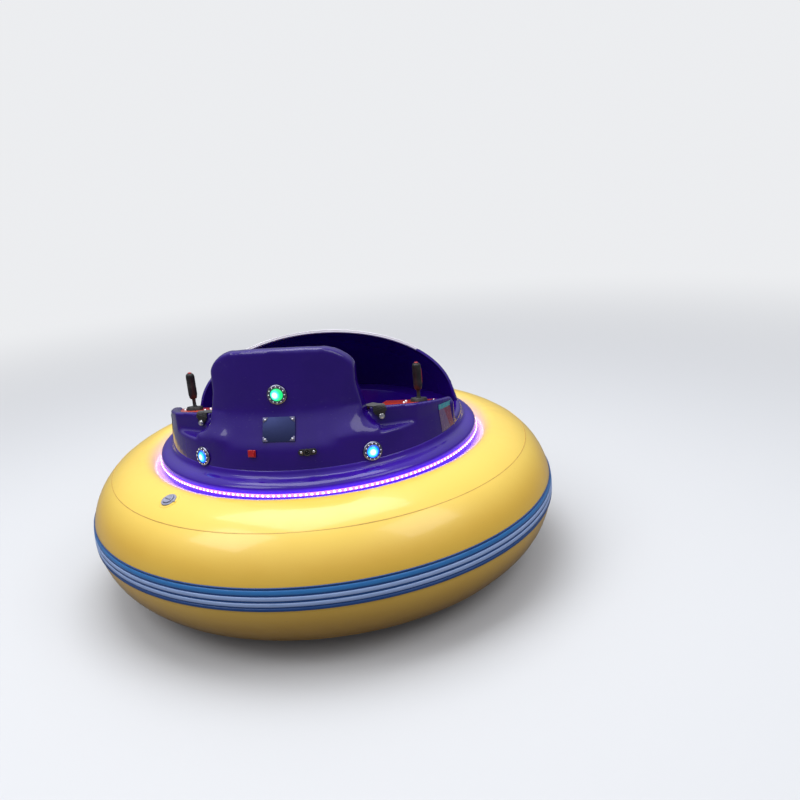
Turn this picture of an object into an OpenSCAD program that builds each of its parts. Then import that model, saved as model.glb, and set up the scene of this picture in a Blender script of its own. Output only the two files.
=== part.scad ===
// Fairground bumper car: a moulded body in an inflated tube, on two driven wheels and two casters.
// Millimetres. +Y is forward, +X the rider's right, +Z up, the origin on the floor at the tube's axis.

/* [Bumper tube] */
// Radius of the tube at its outermost
tube_r = 946; // [930:1:970]
// Half of the tube's height
tube_half_h = 257; // [245:1:260]
// Height of the tube's middle above the floor
tube_mid_z = 288; // [280:1:300]
// Gap between the hull and the tube's hole
tube_gap = 7; // [4:1:20]
// How much of the tube's round the hull presses flat
tube_press = 79; // [60:1:90]
// Height of the rub strip
strip_h = 84; // [60:1:96]
// Thickness of the rub strip at its ribs
strip_t = 4; // [3:0.5:6]

/* [Hull] */
// Outer radius of the round tub below the flange
tub_r = 498; // [480:1:500]
// Thickness of the moulded walls
skin_t = 8; // [6:0.5:10]
// Height of the tub's underside
tub_bottom_z = 222; // [215:1:230]
// How far the flange reaches out over the tube
flange_w = 152; // [140:1:165]
// Height of the flange's lower edge
flange_z = 505; // [502:1:508]
// Depth of the skirt that carries the light strip
skirt_h = 52; // [45:1:60]
// Height of the ledge inside the skirt
ledge_z = 576; // [572:1:582]

/* [Body] */
// How far the body wall stands outside the tub
wall_out = 100; // [94:1:106]
// Height of the side shelf
shelf_z = 690; // [680:1:700]
// Lean of the lower wall from the ledge up to the shelf
wall_lean = 12; // [6:1:16]
// Radius of the consoles' rear wall, seen from above
upper_r = 1100; // [1000:10:1300]
// How far that wall would stand inside the lower wall at the car's middle
upper_in = 138; // [130:1:146]
// Highest point of the deck, at the seat back
deck_z = 765; // [756:1:775]
// Slope of the deck down towards the front
deck_slope = 12; // [9:1:13]
// Width of the raised rim round the deck
rim_w = 36; // [28:1:44]
// Height of the rim above the deck
rim_h = 8; // [5:1:12]
// Distance of the consoles' front faces behind the body's axis
console_front = 118; // [100:1:140]
// Half of the clear width between the consoles
cockpit_half_w = 312; // [300:1:318]
// Height of the sill at the two ways in
sill_z = 618; // [605:1:630]

/* [Seat] */
// Height of the seat bench
seat_z = 500; // [470:1:515]
// How far the bench reaches ahead of the body's axis
seat_front = 40; // [10:1:70]
// Highest point of the seat back
back_z = 1020; // [980:1:1060]
// Dip in the middle of the seat back's top edge
back_dip = 10; // [0:1:16]
// Half of the seat back's width between its straight sides
back_half_w = 264; // [250:1:280]
// Radius of the seat back's shoulders
shoulder_r = 96; // [70:1:110]
// How far the seat back's outer face stands inside the lower wall
back_in = 70; // [62:1:78]
// Thickness of the seat back at its top
back_t = 58; // [45:1:70]

/* [Cowl] */
// How far the cowl's rim stands inside the lower wall at its feet
cowl_in = 38; // [34:1:56]
// Height of the cowl's feet
cowl_foot_z = 632; // [624:1:645]
// Distance of the feet ahead of the body's axis
cowl_foot_y = 118; // [100:1:140]
// Height of the cowl's rim in the middle
cowl_top_z = 918; // [890:1:940]
// Distance of the rim's middle ahead of the body's axis
cowl_top_y = 240; // [220:1:280]
// Thickness of the cowl's shell
cowl_t = 10; // [8:0.5:14]

/* [Lamps] */
// Outer diameter of a round lamp's bezel
lamp_d = 82; // [70:1:90]
// Outer diameter of the nose lamp's bezel
nose_lamp_d = 100; // [84:1:104]
// Height of the two low rear lamps
rear_lamp_z = 630; // [625:1:640]
// Height of the lamp in the seat back
back_lamp_z = 860; // [840:1:890]

/* [Controls] */
// Distance of each joystick from the middle
stick_x = 452; // [446:1:458]
// Distance of the joysticks behind the body's axis
stick_y = 192; // [188:1:200]
// Length of a joystick above its pivot
stick_h = 140; // [130:1:165]
// Diameter of a joystick's grip
grip_d = 34; // [28:1:38]

/* [Running gear] */
// Diameter of the driven wheels
drive_d = 200; // [180:2:210]
// Width of the driven wheels
drive_w = 45; // [40:1:50]
// Distance of a driven wheel's middle from the car's middle
drive_x = 350; // [345:1:360]
// Distance of the driving axle behind the body's axis
drive_y = 50; // [40:1:60]
// Side of the square frame tube
frame_s = 40; // [35:1:44]
// Distance of each frame rail from the middle
rail_x = 240; // [220:1:250]
// Distance of the caster pins from the body's axis
caster_y = 360; // [350:1:365]
// Diameter of the caster wheels
caster_d = 125; // [110:1:126]
// Width of the caster wheels
caster_w = 32; // [28:1:34]
// Distance of a caster's axle behind its pin
caster_trail = 38; // [32:1:40]

/* [Hidden] */
$fn = 64;
eps = 0.3;                                     // clearance between curved faces that meet
tube_hole_r = tub_r + tube_gap;
tube_half_w = (tube_r - tube_hole_r + tube_press) / 2;
tube_mid_r = tube_r - tube_half_w;
flange_r = tub_r + flange_w;
wall_r = tub_r + wall_out;
upper_shift = upper_r - (wall_r - upper_in);
back_r = wall_r - back_in;
cowl_half_w = wall_r - cowl_in;
skirt_top_z = flange_z + skirt_h;
wall_top_r = wall_r - wall_lean;
floor_z = tub_bottom_z + skin_t;
sill_gap = 1.6;                                // between a sill's end and the cowl's foot
far = 1000;
console_x = back_half_w + 34 + eps;            // the console begins beside the seat back's foot
body_colour = "#3a1a7a";
deck_colour = "#d8452a";

// A point at an angle round the body from its rear, at a radius and a height
function round_pt(a, r, z) = [r * sin(a), -r * cos(a), z];
// A point of the tube's round section, at an angle from its outermost side
function tube_pt(a) = [tube_mid_r + tube_half_w * cos(a), tube_mid_z + tube_half_h * sin(a)];
// The same, a distance outside the tube's surface
function over_tube_pt(a, d) = [tube_mid_r + (tube_half_w + d) * cos(a),
                               tube_mid_z + (tube_half_h + d) * sin(a)];

// Bumper tube

// How deep the tube's crown is pressed in under the flange, by radius
crown = [[tube_hole_r + 22, -10], [flange_r - 52, -eps], [flange_r + 6, -eps], [flange_r + 16, 10],
         [flange_r + 32, 26], [flange_r + 54, 36]];   // [radius, height above the flange's lower edge]
hole_angle = acos((tube_hole_r - tube_mid_r) / tube_half_w);
module bumper_tube() color("#f2b92c") rotate_extrude($fn = 120) polygon(concat(
    [for (i = [0:28]) tube_pt(84 - i * (84 + hole_angle) / 28)],
    [[tube_hole_r, tube_mid_z + tube_half_h * sin(hole_angle)]],
    [for (c = crown) [c[0], flange_z + c[1]]]));

strip_mid_a = 2.2;
strip_half_a = strip_h / 2 / tube_half_h * 180 / PI;
// Ribs of the rub strip: [from, to] as shares of the strip's height
strip_ribs = [[0, 0.12], [0.19, 0.36], [0.41, 0.68], [0.73, 0.88], [0.93, 1]];
module rub_strip() color("#2f6fc0") rotate_extrude($fn = 120) {
    lo = strip_mid_a - strip_half_a;
    span = 2 * strip_half_a;
    polygon(concat(
        [for (i = [0:8]) over_tube_pt(lo + span * i / 8, eps)],
        [for (k = [len(strip_ribs) - 1:-1:0]) for (p = [[1, 1.4], [0.88, strip_t], [0.12, strip_t], [0, 1.4]])
            over_tube_pt(lo + span * (strip_ribs[k][0] + (strip_ribs[k][1] - strip_ribs[k][0]) * p[0]), p[1])]));
}

valve_angle = -31;
valve_r = tube_mid_r + 87;
module air_valve() color("#9aa0b4")
    translate(round_pt(valve_angle, valve_r, tube_mid_z + tube_half_h * sqrt(1 - pow((valve_r - tube_mid_r) / tube_half_w, 2))))
        rotate([0, 0, valve_angle]) rotate([asin((valve_r - tube_mid_r) / tube_half_w), 0, 0]) {
            translate([0, 0, eps]) cylinder(d = 58, h = 4);
            translate([0, 0, 4]) cylinder(d = 40, h = 5);
        }

// Hull

module hull_tub() color(body_colour) rotate_extrude($fn = 120) polygon([
    [0, tub_bottom_z], [tub_r - 20, tub_bottom_z], [tub_r, tub_bottom_z + 20], [tub_r, flange_z + 8],
    [flange_r - 22, flange_z + 8], [flange_r - 14, flange_z], [flange_r, flange_z],
    [flange_r, skirt_top_z - 10], [flange_r - 12, skirt_top_z + 3], [flange_r - 40, ledge_z - 4],
    [wall_r + 4, ledge_z - 2], [wall_r + 1, ledge_z], [tub_r - skin_t, ledge_z],
    [tub_r - skin_t, tub_bottom_z + 24], [tub_r - 24, floor_z], [0, floor_z]]);

module led_strip() color("#e9dcff") rotate_extrude($fn = 120)
    translate([flange_r + eps, flange_z + 14]) square([4, 12]);

function lean_r(z) = wall_r - wall_lean * (z - ledge_z) / (shelf_z - ledge_z);
// The consoles' outline, a flat arc behind and the lower wall's circle at the sides
module upper_plan(inset = 0) intersection() {
    translate([0, upper_shift, 0]) cylinder(r = upper_r - inset, h = far, $fn = 160);
    cylinder(r = wall_top_r - 1 - inset, h = far, $fn = 120);
}
module body_wall() color(body_colour) {
    // the closed wall behind the ways in
    intersection() {
        rotate_extrude($fn = 120) polygon([[wall_r, ledge_z], [wall_top_r, shelf_z - 5],
            [wall_top_r - 6, shelf_z], [tub_r - skin_t, shelf_z], [tub_r - skin_t, shelf_z - skin_t],
            [wall_top_r - skin_t - 4, shelf_z - skin_t - 2], [wall_r - skin_t, ledge_z]]);
        translate([-far, -far - console_front, 0]) cube([2 * far, far, far]);
        union() {
            translate([-console_x, -far, 0]) cube([2 * console_x, far, far]);
            difference() {
                translate([-far, -far, 0]) cube([2 * far, far, far]);
                upper_plan(rim_w);
            }
        }
    }
    // the sills at the two ways in
    intersection() {
        rotate_extrude($fn = 120) polygon([[wall_r, ledge_z], [lean_r(sill_z) , sill_z - 4],
            [lean_r(sill_z) - 5, sill_z], [lean_r(sill_z) - 30, sill_z], [lean_r(sill_z) - 34, ledge_z]]);
        translate([-far, -console_front, 0]) cube([2 * far, console_front + cowl_foot_y - sill_gap, far]);
    }
}

// Seat

back_lean = 8;                                 // the outer face leans in by this much at its top
foot_r = wall_top_r - 8;                       // the seat back's foot flows out to the wall
back_foot_z = 795;
back_wide_z = 860;                             // below this the seat back widens to its foot
back_knee_z = 640;                             // below this its inner face runs straight down
face_lean_a = atan(back_lean / (back_z - back_foot_z));
foot_lean_a = atan((foot_r - back_r) / (back_foot_z - shelf_z));
function back_face_r(z) = z > back_foot_z ? back_r - (z - back_foot_z) * tan(face_lean_a)
                                          : foot_r - (z - shelf_z) * tan(foot_lean_a);
module back_outline() {
    // seen from behind, with big round shoulders on a foot that widens downwards
    polygon([[-back_half_w, back_wide_z], [-back_half_w - 34, shelf_z + eps], [back_half_w + 34, shelf_z + eps],
             [back_half_w, back_wide_z], [back_half_w, back_z - shoulder_r], [-back_half_w, back_z - shoulder_r]]);
    difference() {
        union() {
            for (s = [-1, 1]) translate([s * (back_half_w - shoulder_r), back_z - shoulder_r]) circle(shoulder_r, $fn = 64);
            translate([-back_half_w + shoulder_r, shelf_z + 40])
                square([2 * (back_half_w - shoulder_r), back_z - shelf_z - 40]);
        }
        translate([0, back_z - back_dip + 1400]) circle(1400, $fn = 180);
    }
}
module seat_back() color(body_colour) {
    intersection() {
        rotate_extrude($fn = 120) polygon([
            [back_r - back_t - 62, seat_z + eps], [tub_r - skin_t - eps, seat_z + eps],
            [tub_r - skin_t - eps, shelf_z + eps], [foot_r, shelf_z + eps],
            [back_r, back_foot_z], [back_r - back_lean, back_z], [back_r - back_t, back_z],
            [back_r - back_t - 8, back_foot_z - 35], [back_r - back_t - 24, back_knee_z]]);
        union() {
            rotate([90, 0, 0]) linear_extrude(far) back_outline();
            translate([-back_half_w - 34, -far, seat_z]) cube([2 * back_half_w + 68, far, shelf_z - seat_z + 1]);
        }
    }
}

bench_r = tub_r - skin_t - 4;
module bench_form(inset) intersection() {
    // a round box that clears the tub's rounded bottom edge
    rotate_extrude($fn = 120) polygon([[0, floor_z - 1], [bench_r - 13 - inset, floor_z - 1], [bench_r - 13 - inset, floor_z],
        [bench_r - inset, floor_z + 13], [bench_r - inset, seat_z - inset], [0, seat_z - inset]]);
    translate([-far, -far, 0]) cube([2 * far, far + seat_front - inset, far]);
}
module seat_bench() color(body_colour) difference() {
    intersection() {
        bench_form(0);
        translate([-far, -far, floor_z]) cube([2 * far, 2 * far, far]);
    }
    bench_form(skin_t);
}

// Consoles

inner_lip_y = 330;                             // the rim turns in beside the seat back only behind this
deck_back_y = -400;                            // where the deck is at its full height
module under_deck(drop = 0) {
    // everything below the sloping deck
    translate([0, deck_back_y, deck_z - drop]) rotate([-deck_slope, 0, 0])
        translate([-far, -far, -far]) cube([2 * far, 2.5 * far, far]);
}
module console_right() color(body_colour) difference() {
    intersection() {
        upper_plan();
        under_deck();
        translate([console_x, -far - console_front, shelf_z]) cube([far, far, far]);
    }
    intersection() {
        upper_plan(rim_w);
        translate([cockpit_half_w, -far - console_front - 1, shelf_z - 1]) cube([far, far + 2, far]);
    }
    translate([0, -inner_lip_y, shelf_z - 1]) cube([cockpit_half_w, far, far]);
}
module deck_right() color(deck_colour) {
    intersection() {
        upper_plan(rim_w + eps);
        under_deck(rim_h);
        translate([cockpit_half_w + eps, -far - console_front, ledge_z + eps]) cube([far, far, far]);
    }
    intersection() {
        cylinder(r = tub_r - skin_t - eps, h = far, $fn = 120);
        translate([cockpit_half_w + eps, -far - console_front, seat_z + eps]) cube([far, far, ledge_z - seat_z + 1]);
    }
}

// Cowl

cowl_foot_a = asin(cowl_foot_y / wall_r);       // the feet's angle ahead of the car's side
cowl_us = 48;                                  // steps across the cowl
cowl_vs = 14;                                  // steps from the rim down to the ledge
bend_out = 0.66;                               // the bend's share of the way out from the rim to the base
bend_down = 0.36;                              // and of the way down
cowl_heart = [0, 60, 480];                     // the shell's thickness is measured towards this point
cowl_base_z = ledge_z + eps;
// The rim is half an ellipse in a plane that leans forward; t runs from -90 at the left foot to 90
function rim_z(t) = cowl_foot_z + (cowl_top_z - cowl_foot_z) * cos(t);
function cowl_rim(t) = [cowl_half_w * sin(t), cowl_foot_y + (cowl_top_y - cowl_foot_y) * cos(t), rim_z(t)];
function cowl_base(t) = let (a = t / 90 * (90 - cowl_foot_a)) [wall_r * sin(a), wall_r * cos(a), cowl_base_z];
// The surface bends from the rim, at v = 0, down to the base, at v = 1
function cowl_surface(t, v) = let (r = cowl_rim(t), w = cowl_base(t) - r, m = 2 * v * (1 - v))
    r + [w[0] * (m * bend_out + v * v), w[1] * (m * bend_out + v * v), w[2] * (m * bend_down + v * v)];
// The share v at which the surface has a height z
function v_at(t, z) = let (s = (rim_z(t) - z) / (rim_z(t) - cowl_base_z), c = 1 - 2 * bend_down)
    (sqrt(bend_down * bend_down + c * s) - bend_down) / c;
function cowl_normal(t, v) = let (q = cowl_surface(t, v) - cowl_heart, n = [q[0], q[1], q[2] * (1 - v)]) n / norm(n);
function cowl_pt(t, v, d) = cowl_surface(t, v) + d * cowl_normal(t, v);

// A shell between depth d0 and the depth rise(t, v) over a grid of points, given as columns of [t, v]
module cowl_shell(cols, d0, rise) {
    nu = len(cols) - 1;
    nv = len(cols[0]) - 1;
    row = nv + 1;
    pts = [for (k = [0, 1]) for (c = cols) for (p = c) cowl_pt(p[0], p[1], k == 0 ? d0 : rise(p[0], p[1]))];
    id = function (k, i, j) (k * (nu + 1) + i) * row + j;
    quad = function (a, b, c, d) [[a, b, c], [a, c, d]];
    polyhedron(points = pts, faces = concat(
        [for (i = [0:nu - 1]) for (j = [0:nv - 1]) each concat(
            quad(id(1, i, j), id(1, i + 1, j), id(1, i + 1, j + 1), id(1, i, j + 1)),
            quad(id(0, i, j + 1), id(0, i + 1, j + 1), id(0, i + 1, j), id(0, i, j)))],
        [for (i = [0:nu - 1]) each concat(quad(id(0, i, 0), id(0, i + 1, 0), id(1, i + 1, 0), id(1, i, 0)),
            quad(id(0, i, nv), id(1, i, nv), id(1, i + 1, nv), id(0, i + 1, nv)))],
        [for (j = [0:nv - 1]) each concat(quad(id(0, 0, j), id(1, 0, j), id(1, 0, j + 1), id(0, 0, j + 1)),
            quad(id(0, nu, j), id(0, nu, j + 1), id(1, nu, j + 1), id(1, nu, j)))]));
}
// A raised area, from a table of [t, upper edge's height, lower edge's height]
module cowl_area(table, h, n = 4) {
    t0 = table[0][0];
    steps = ceil((table[len(table) - 1][0] - t0) / 3);
    upper = [for (c = table) [c[0], c[1]]];
    lower = [for (c = table) [c[0], c[2]]];
    cowl_shell([for (i = [0:steps]) let (t = t0 + (table[len(table) - 1][0] - t0) * i / steps, a = lookup(t, upper),
        b = lookup(t, lower)) [for (j = [0:n]) [t, v_at(t, a + (b - a) * j / n)]]], 2 * eps, function (t, v) h);
}
function both_ways(table) = concat([for (k = [len(table) - 1:-1:1]) [-table[k][0], table[k][1], table[k][2]]], table);
function to_left(table) = [for (k = [len(table) - 1:-1:0]) [-table[k][0], table[k][1], table[k][2]]];
module cowl_pair(table, h) {
    cowl_area(table, h);
    cowl_area(to_left(table), h);
}
module cowl() color(body_colour) cowl_shell([for (i = [0:cowl_us]) [for (j = [0:cowl_vs])
    [-90 + 180 * i / cowl_us, j / cowl_vs]]], -cowl_t, function (t, v) 0);

panel_h = 2.5;
rib_h = 8;
stripe_w = 12;
// The light band below the screen: [t, upper edge's height, lower edge's height]
band = [[0, 820, 798], [10, 816, 794], [20, 812, 790], [28, 817, 797], [36, 827, 808], [42, 832, 816]];
side_ridge = [[7, 752, 716], [14, 768, 744], [20, 782, 756], [28, 789, 767], [36, 800, 780], [42, 808, 790],
              [48, 810, 792]];
middle_ridge = [[0, 734, 712], [6.5, 751, 721]];
middle_panel = [[0, 794, 739], [8, 791, 758], [17, 787, 780]];
upper_panel = [[13.5, 739, 686], [22, 753, 686], [33, 771, 686], [43, 786, 686], [50, 770, 686], [58, 738, 686],
               [66, 694, 686]];
middle_rib = [[13.5, 681, 651], [30, 681, 651], [46, 681, 651], [60, 681, 651], [74, 681, 651]];
lower_panel = [[13.5, 646, 606], [30, 646, 606], [46, 646, 606], [60, 646, 606], [71, 646, 606]];
screen_ts = [0, 8, 16, 20, 26, 32, 38];
module windscreen() color("#101216") cowl_area(both_ways([for (t = screen_ts)
    [t, rim_z(t) - stripe_w - 2, lookup(t, [for (b = band) [b[0], b[1]]]) + 2]]), panel_h);
module screen_border() color("white") {
    cowl_area(both_ways([for (t = [0:6:48]) [t, rim_z(t) + 2, rim_z(t) - stripe_w]]), panel_h);
    cowl_area(both_ways([for (b = band) b]), panel_h);
}
module cowl_panels() color("#8f7be0") {
    cowl_area(both_ways(middle_panel), panel_h);
    cowl_pair(upper_panel, panel_h);
    cowl_pair(lower_panel, panel_h);
}
nose_y = wall_r + 2;
nose_z = 630;
nose_lean = 18;
pod_half_t = 11;                               // half of the pod's width, in t
pod_top_z = 706;
pod_slope = 5;                                 // how far the pod's point drops for each degree of t
module nose_place() translate([0, nose_y, nose_z]) rotate([nose_lean - 90, 0, 0]) children();
// The pod rises to the lamp's plane, with a sloping roof and sides
pod_rise = function (t, v) let (p = cowl_surface(t, v), n = cowl_normal(t, v), f = [0, cos(nose_lean), sin(nose_lean)])
    min(([0, nose_y, nose_z] - p) * f / (n * f), rib_h + (pod_top_z - pod_slope * abs(t) - p[2]) * 0.9,
        rib_h + (pod_half_t - abs(t)) * 14);
module cowl_ribs() color(body_colour) {
    cowl_area(both_ways(middle_ridge), rib_h);
    cowl_pair(side_ridge, rib_h);
    cowl_pair(middle_rib, rib_h);
    // the pod of the nose lamp
    cowl_shell([for (t = [-pod_half_t:1:pod_half_t]) [for (j = [0:16]) let (v = v_at(t, pod_top_z - pod_slope * abs(t)))
        [t, v + (1 - v) * j / 16]]], 2 * eps, pod_rise);
}

// Lamps

// Places of the round lamps on the rear: [angle from the rear, radius of the wall there, height]
rear_lamp_a = 32;
rear_lamp_r = lean_r(rear_lamp_z) + eps;
module at_round(a, r, z, lean = 0) translate(round_pt(a, r, z)) rotate([0, 0, a]) rotate([90 - lean, 0, 0]) children();
wall_lean_a = atan(wall_lean / (shelf_z - ledge_z));
module lamp_places() {
    for (s = [-1, 1]) at_round(s * rear_lamp_a, rear_lamp_r, rear_lamp_z, wall_lean_a) children();
}
module bezel(d) difference() {
    cylinder(d = d, h = 11);
    translate([0, 0, 5]) cylinder(d1 = d - 28, d2 = d - 16, h = 7);
}
module lens(d) translate([0, 0, 5 + eps]) intersection() {
    cylinder(d = d - 29, h = 20);
    translate([0, 0, 8 - d / 2]) sphere(r = d / 2, $fn = 64);
}
console_lamp_z = 650;
module console_lamp_place(s) translate([s * (cockpit_half_w + 118), -console_front, console_lamp_z]) rotate([-90, 0, 0]) children();
module lamp_bezels() color("#c9ccd2") {
    lamp_places() bezel(lamp_d);
    at_round(0, back_face_r(back_lamp_z) + eps, back_lamp_z, face_lean_a) bezel(lamp_d);
    for (s = [-1, 1]) console_lamp_place(s) translate([0, 0, eps]) bezel(lamp_d - 6);
    nose_place() translate([0, 0, eps]) bezel(nose_lamp_d);
}
module rear_lamp_lenses() color("#2c8cff") lamp_places() lens(lamp_d);
module back_lamp_lens() color("#22c98a") at_round(0, back_face_r(back_lamp_z) + eps, back_lamp_z, face_lean_a) lens(lamp_d);
module front_lamp_lenses() color("#d0e0ff") {
    for (s = [-1, 1]) console_lamp_place(s) translate([0, 0, eps]) lens(lamp_d - 6);
    nose_place() translate([0, 0, eps]) lens(nose_lamp_d);
}

// Small rear fittings

plate_w = 136;
plate_h = 98;
plate_z = 741;
module rear_plate() color("#8f97a8") at_round(0, back_face_r(plate_z) + eps, plate_z, foot_lean_a)
    linear_extrude(3) square([plate_w, plate_h], center = true);
switch_z = 664;
fitting_a = 9.8;                               // angle of the switch and the socket from the rear
module at_wall(a, z) at_round(a, lean_r(z) + eps, z, wall_lean_a) children();
module power_switch() color("#b02020") at_wall(-fitting_a, switch_z) {
    linear_extrude(5) square([30, 26], center = true);
    translate([0, 0, 5]) linear_extrude(4) square([24, 14], center = true);
}
socket_bore_r = 8;
socket_depth = 12;
module charge_socket() color("#15151a") at_wall(fitting_a, switch_z) difference() {
    union() {
        linear_extrude(5) square([58, 26], center = true);
        cylinder(d = 24, h = socket_depth + 2);
    }
    translate([0, 0, 2]) cylinder(r = socket_bore_r, h = socket_depth + 1);
}

// Seat belts

belt_w = 50;
belt_t = 2.5;
belt_a = 41;                                   // angle of the belts' anchors from the rear
belt_r = sqrt(pow(upper_r, 2) - pow(upper_shift * sin(belt_a), 2)) - upper_shift * cos(belt_a);
belt_z = 735;                                  // height of the anchor bolts
belt_turn = 129;                               // direction in which the right belt runs in over the console
belt_wall_a = asin(belt_r * sin(belt_a) / upper_r);   // direction in which the console's wall faces there
belt_skew = belt_turn - 90 - belt_wall_a;      // the run's turn away from straight in through that wall
belt_top_z = deck_z + 9;
belt_in_z = deck_z - 8;                        // the belt slopes down with the deck
// The run's route: [distance in from the anchor, height], over the console, down and along the seat
belt_route = [[-20, belt_top_z], [98, belt_in_z], [116, deck_z - 40], [138, seat_z + 20],
              [156, seat_z + eps], [445, seat_z + eps]];
belt_fall = (belt_route[0][1] - belt_route[1][1]) / (belt_route[1][0] - belt_route[0][0]);
// Height at which the hanging end meets the run, by its distance along the wall
function belt_fold_z(x) = belt_top_z + belt_t / 2 - belt_fall * (-x * sin(belt_skew) - belt_route[0][0]);
// The anchor's place, turned to a direction
module belt_at(s, turn) mirror([s < 0 ? 1 : 0, 0, 0])
    translate([belt_r * sin(belt_a), -belt_r * cos(belt_a), 0]) rotate([0, 0, turn]) children();
module seat_belts() color("#17171b") for (s = [-1, 1]) {
    belt_at(s, belt_wall_a) translate([0, -eps, 0]) rotate([90, 0, 0]) linear_extrude(belt_t) polygon([
        [-belt_w / 2, belt_z - 22], [belt_w / 2, belt_z - 22],
        [belt_w / 2, belt_fold_z(belt_w / 2)], [-belt_w / 2, belt_fold_z(-belt_w / 2)]]);
    intersection() {
        belt_at(s, belt_turn) rotate([90, 0, 0]) translate([0, 0, -belt_w / 2]) linear_extrude(belt_w)
            polygon(concat(belt_route,
                [for (k = [len(belt_route) - 1:-1:0]) let (
                    a = belt_route[max(k - 1, 0)], b = belt_route[min(k + 1, len(belt_route) - 1)],
                    n = [a[1] - b[1], b[0] - a[0]] / norm(b - a)) belt_route[k] + belt_t * n]));
        belt_at(s, belt_wall_a) translate([-far, -eps - belt_t, 0]) cube([2 * far, 2 * far, far]);
    }
}
module belt_bolts() color("#c9ccd2") for (s = [-1, 1]) belt_at(s, belt_wall_a)
    translate([0, -2 * eps - belt_t, belt_z - 6]) rotate([90, 0, 0]) cylinder(d = 20, h = 8);
module belt_buckle() color("#17171b") translate([-38, -92, seat_z + eps]) cube([76, 50, 18]);

// Joysticks

function deck_at(y) = deck_z - rim_h - (y - deck_back_y) * tan(deck_slope);
pivot_h = 12;                                  // height of the stick's pivot above the deck
stick_z = deck_at(-stick_y) + pivot_h;
base_d = 66;
socket_d = 30;                                 // the round hole in which the stick's ball sits
module stick_place(s) translate([s * stick_x, -stick_y, stick_z]) children();
module joystick_bases() color("#1b1b1f") for (s = [-1, 1]) stick_place(s) {
    rotate([-deck_slope, 0, 0]) difference() {
        translate([0, 0, eps - pivot_h * cos(deck_slope)]) cylinder(d1 = base_d, d2 = base_d - 8, h = pivot_h + 2);
        translate([0, 0, -2 * pivot_h]) cylinder(d = socket_d, h = 4 * pivot_h);
        translate([0, 0, -2]) cylinder(d1 = socket_d, d2 = socket_d + 14, h = 7);
    }
    rotate([0, 90, 0]) cylinder(d = 6, h = socket_d + 4, center = true, $fn = 32);
}
module stick() difference() {
    union() {
        sphere(d = 20, $fn = 48);
        cylinder(d = 14, h = 40);
        translate([0, 0, 34]) cylinder(d1 = grip_d - 6, d2 = grip_d, h = 14);
        translate([0, 0, 48]) cylinder(d = grip_d, h = stick_h - 48 - 8);
        translate([0, 0, stick_h - 8]) cylinder(d1 = grip_d, d2 = grip_d - 8, h = 8);
    }
    rotate([0, 90, 0]) cylinder(d = 6.6, h = 40, center = true, $fn = 32);
}
module button() translate([0, 0, stick_h]) cylinder(d = 16, h = 6);

// Frame

frame_top_z = tub_bottom_z;
frame_z = frame_top_z - frame_s;
rail_len = 2 * (caster_y + frame_s / 2);
module frame_tube(len) difference() {
    cube([frame_s, len, frame_s]);
    translate([3, -1, 3]) cube([frame_s - 6, len + 2, frame_s - 6]);
}
module frame_rails() color("#2a2c30") for (s = [-1, 1])
    translate([s * rail_x - frame_s / 2, -rail_len / 2, frame_z]) frame_tube(rail_len);
cross_len = 2 * rail_x - frame_s;
module frame_crossmembers() color("#2a2c30") {
    for (y = [-caster_y, -drive_y - 110, caster_y])
        translate([-cross_len / 2, y + frame_s / 2, frame_z]) rotate([0, 0, -90]) frame_tube(cross_len);
}
battery_size = [360, 190, 180];
module battery() color("#22252a") translate([-battery_size[0] / 2, -drive_y - 10 - battery_size[1], floor_z]) cube(battery_size);

// Drive

axle_z = drive_d / 2;
shaft_d = 20;
gear_x = drive_x - drive_w / 2 - 24;           // outer face of the gearbox
gearbox = [62, 84, 90];
motor_d = 84;
motor_len = 130;
module drive_motors() color("#6d7278") for (s = [-1, 1]) mirror([s < 0 ? 1 : 0, 0, 0]) translate([0, -drive_y, axle_z]) {
    translate([gear_x - gearbox[0], -gearbox[1] / 2, -gearbox[2] / 2]) cube(gearbox);
    translate([gear_x - gearbox[0] - motor_len, 0, 0]) rotate([0, 90, 0]) cylinder(d = motor_d, h = motor_len);
    translate([gear_x, 0, 0]) rotate([0, 90, 0]) cylinder(d = shaft_d, h = drive_x + drive_w / 2 - 4 - gear_x);
}
gearbox_top_z = axle_z + gearbox[2] / 2;
bracket_more = 13;                             // how far a bracket reaches past its gearbox
module motor_brackets() color("#2a2c30") for (s = [-1, 1]) mirror([s < 0 ? 1 : 0, 0, 0])
    translate([rail_x - frame_s / 2, -drive_y - gearbox[1] / 2 - bracket_more, gearbox_top_z + eps])
        cube([frame_s + 30, gearbox[1] + 2 * bracket_more, frame_z - gearbox_top_z - eps]);
rim_d = drive_d - 64;
module drive_rim() rotate([0, 90, 0]) difference() {
    rotate_extrude() polygon([[shaft_d / 2 + eps, -drive_w / 2], [24, -drive_w / 2], [24, -8], [rim_d / 2 - 12, -5],
        [rim_d / 2 - 8, -drive_w / 2 + 3], [rim_d / 2 - eps, -drive_w / 2 + 3], [rim_d / 2 - eps, drive_w / 2 - 3],
        [rim_d / 2 - 8, drive_w / 2 - 3], [rim_d / 2 - 12, 5], [24, 8], [24, drive_w / 2], [shaft_d / 2 + eps, drive_w / 2]]);
    for (k = [0:4]) rotate([0, 0, k * 72]) translate([rim_d / 4 + 7, 0, -20]) cylinder(d = 14, h = 40);
}
module drive_tyre() rotate([0, 90, 0]) rotate_extrude($fn = 96) polygon([
    [rim_d / 2, -drive_w / 2 + 4], [rim_d / 2 + 6, -drive_w / 2], [drive_d / 2 - 8, -drive_w / 2], [drive_d / 2, -drive_w / 2 + 8],
    [drive_d / 2, drive_w / 2 - 8], [drive_d / 2 - 8, drive_w / 2], [rim_d / 2 + 6, drive_w / 2], [rim_d / 2, drive_w / 2 - 4]]);
module drive_place(s) translate([s * drive_x, -drive_y, axle_z]) children();

// Casters

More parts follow.
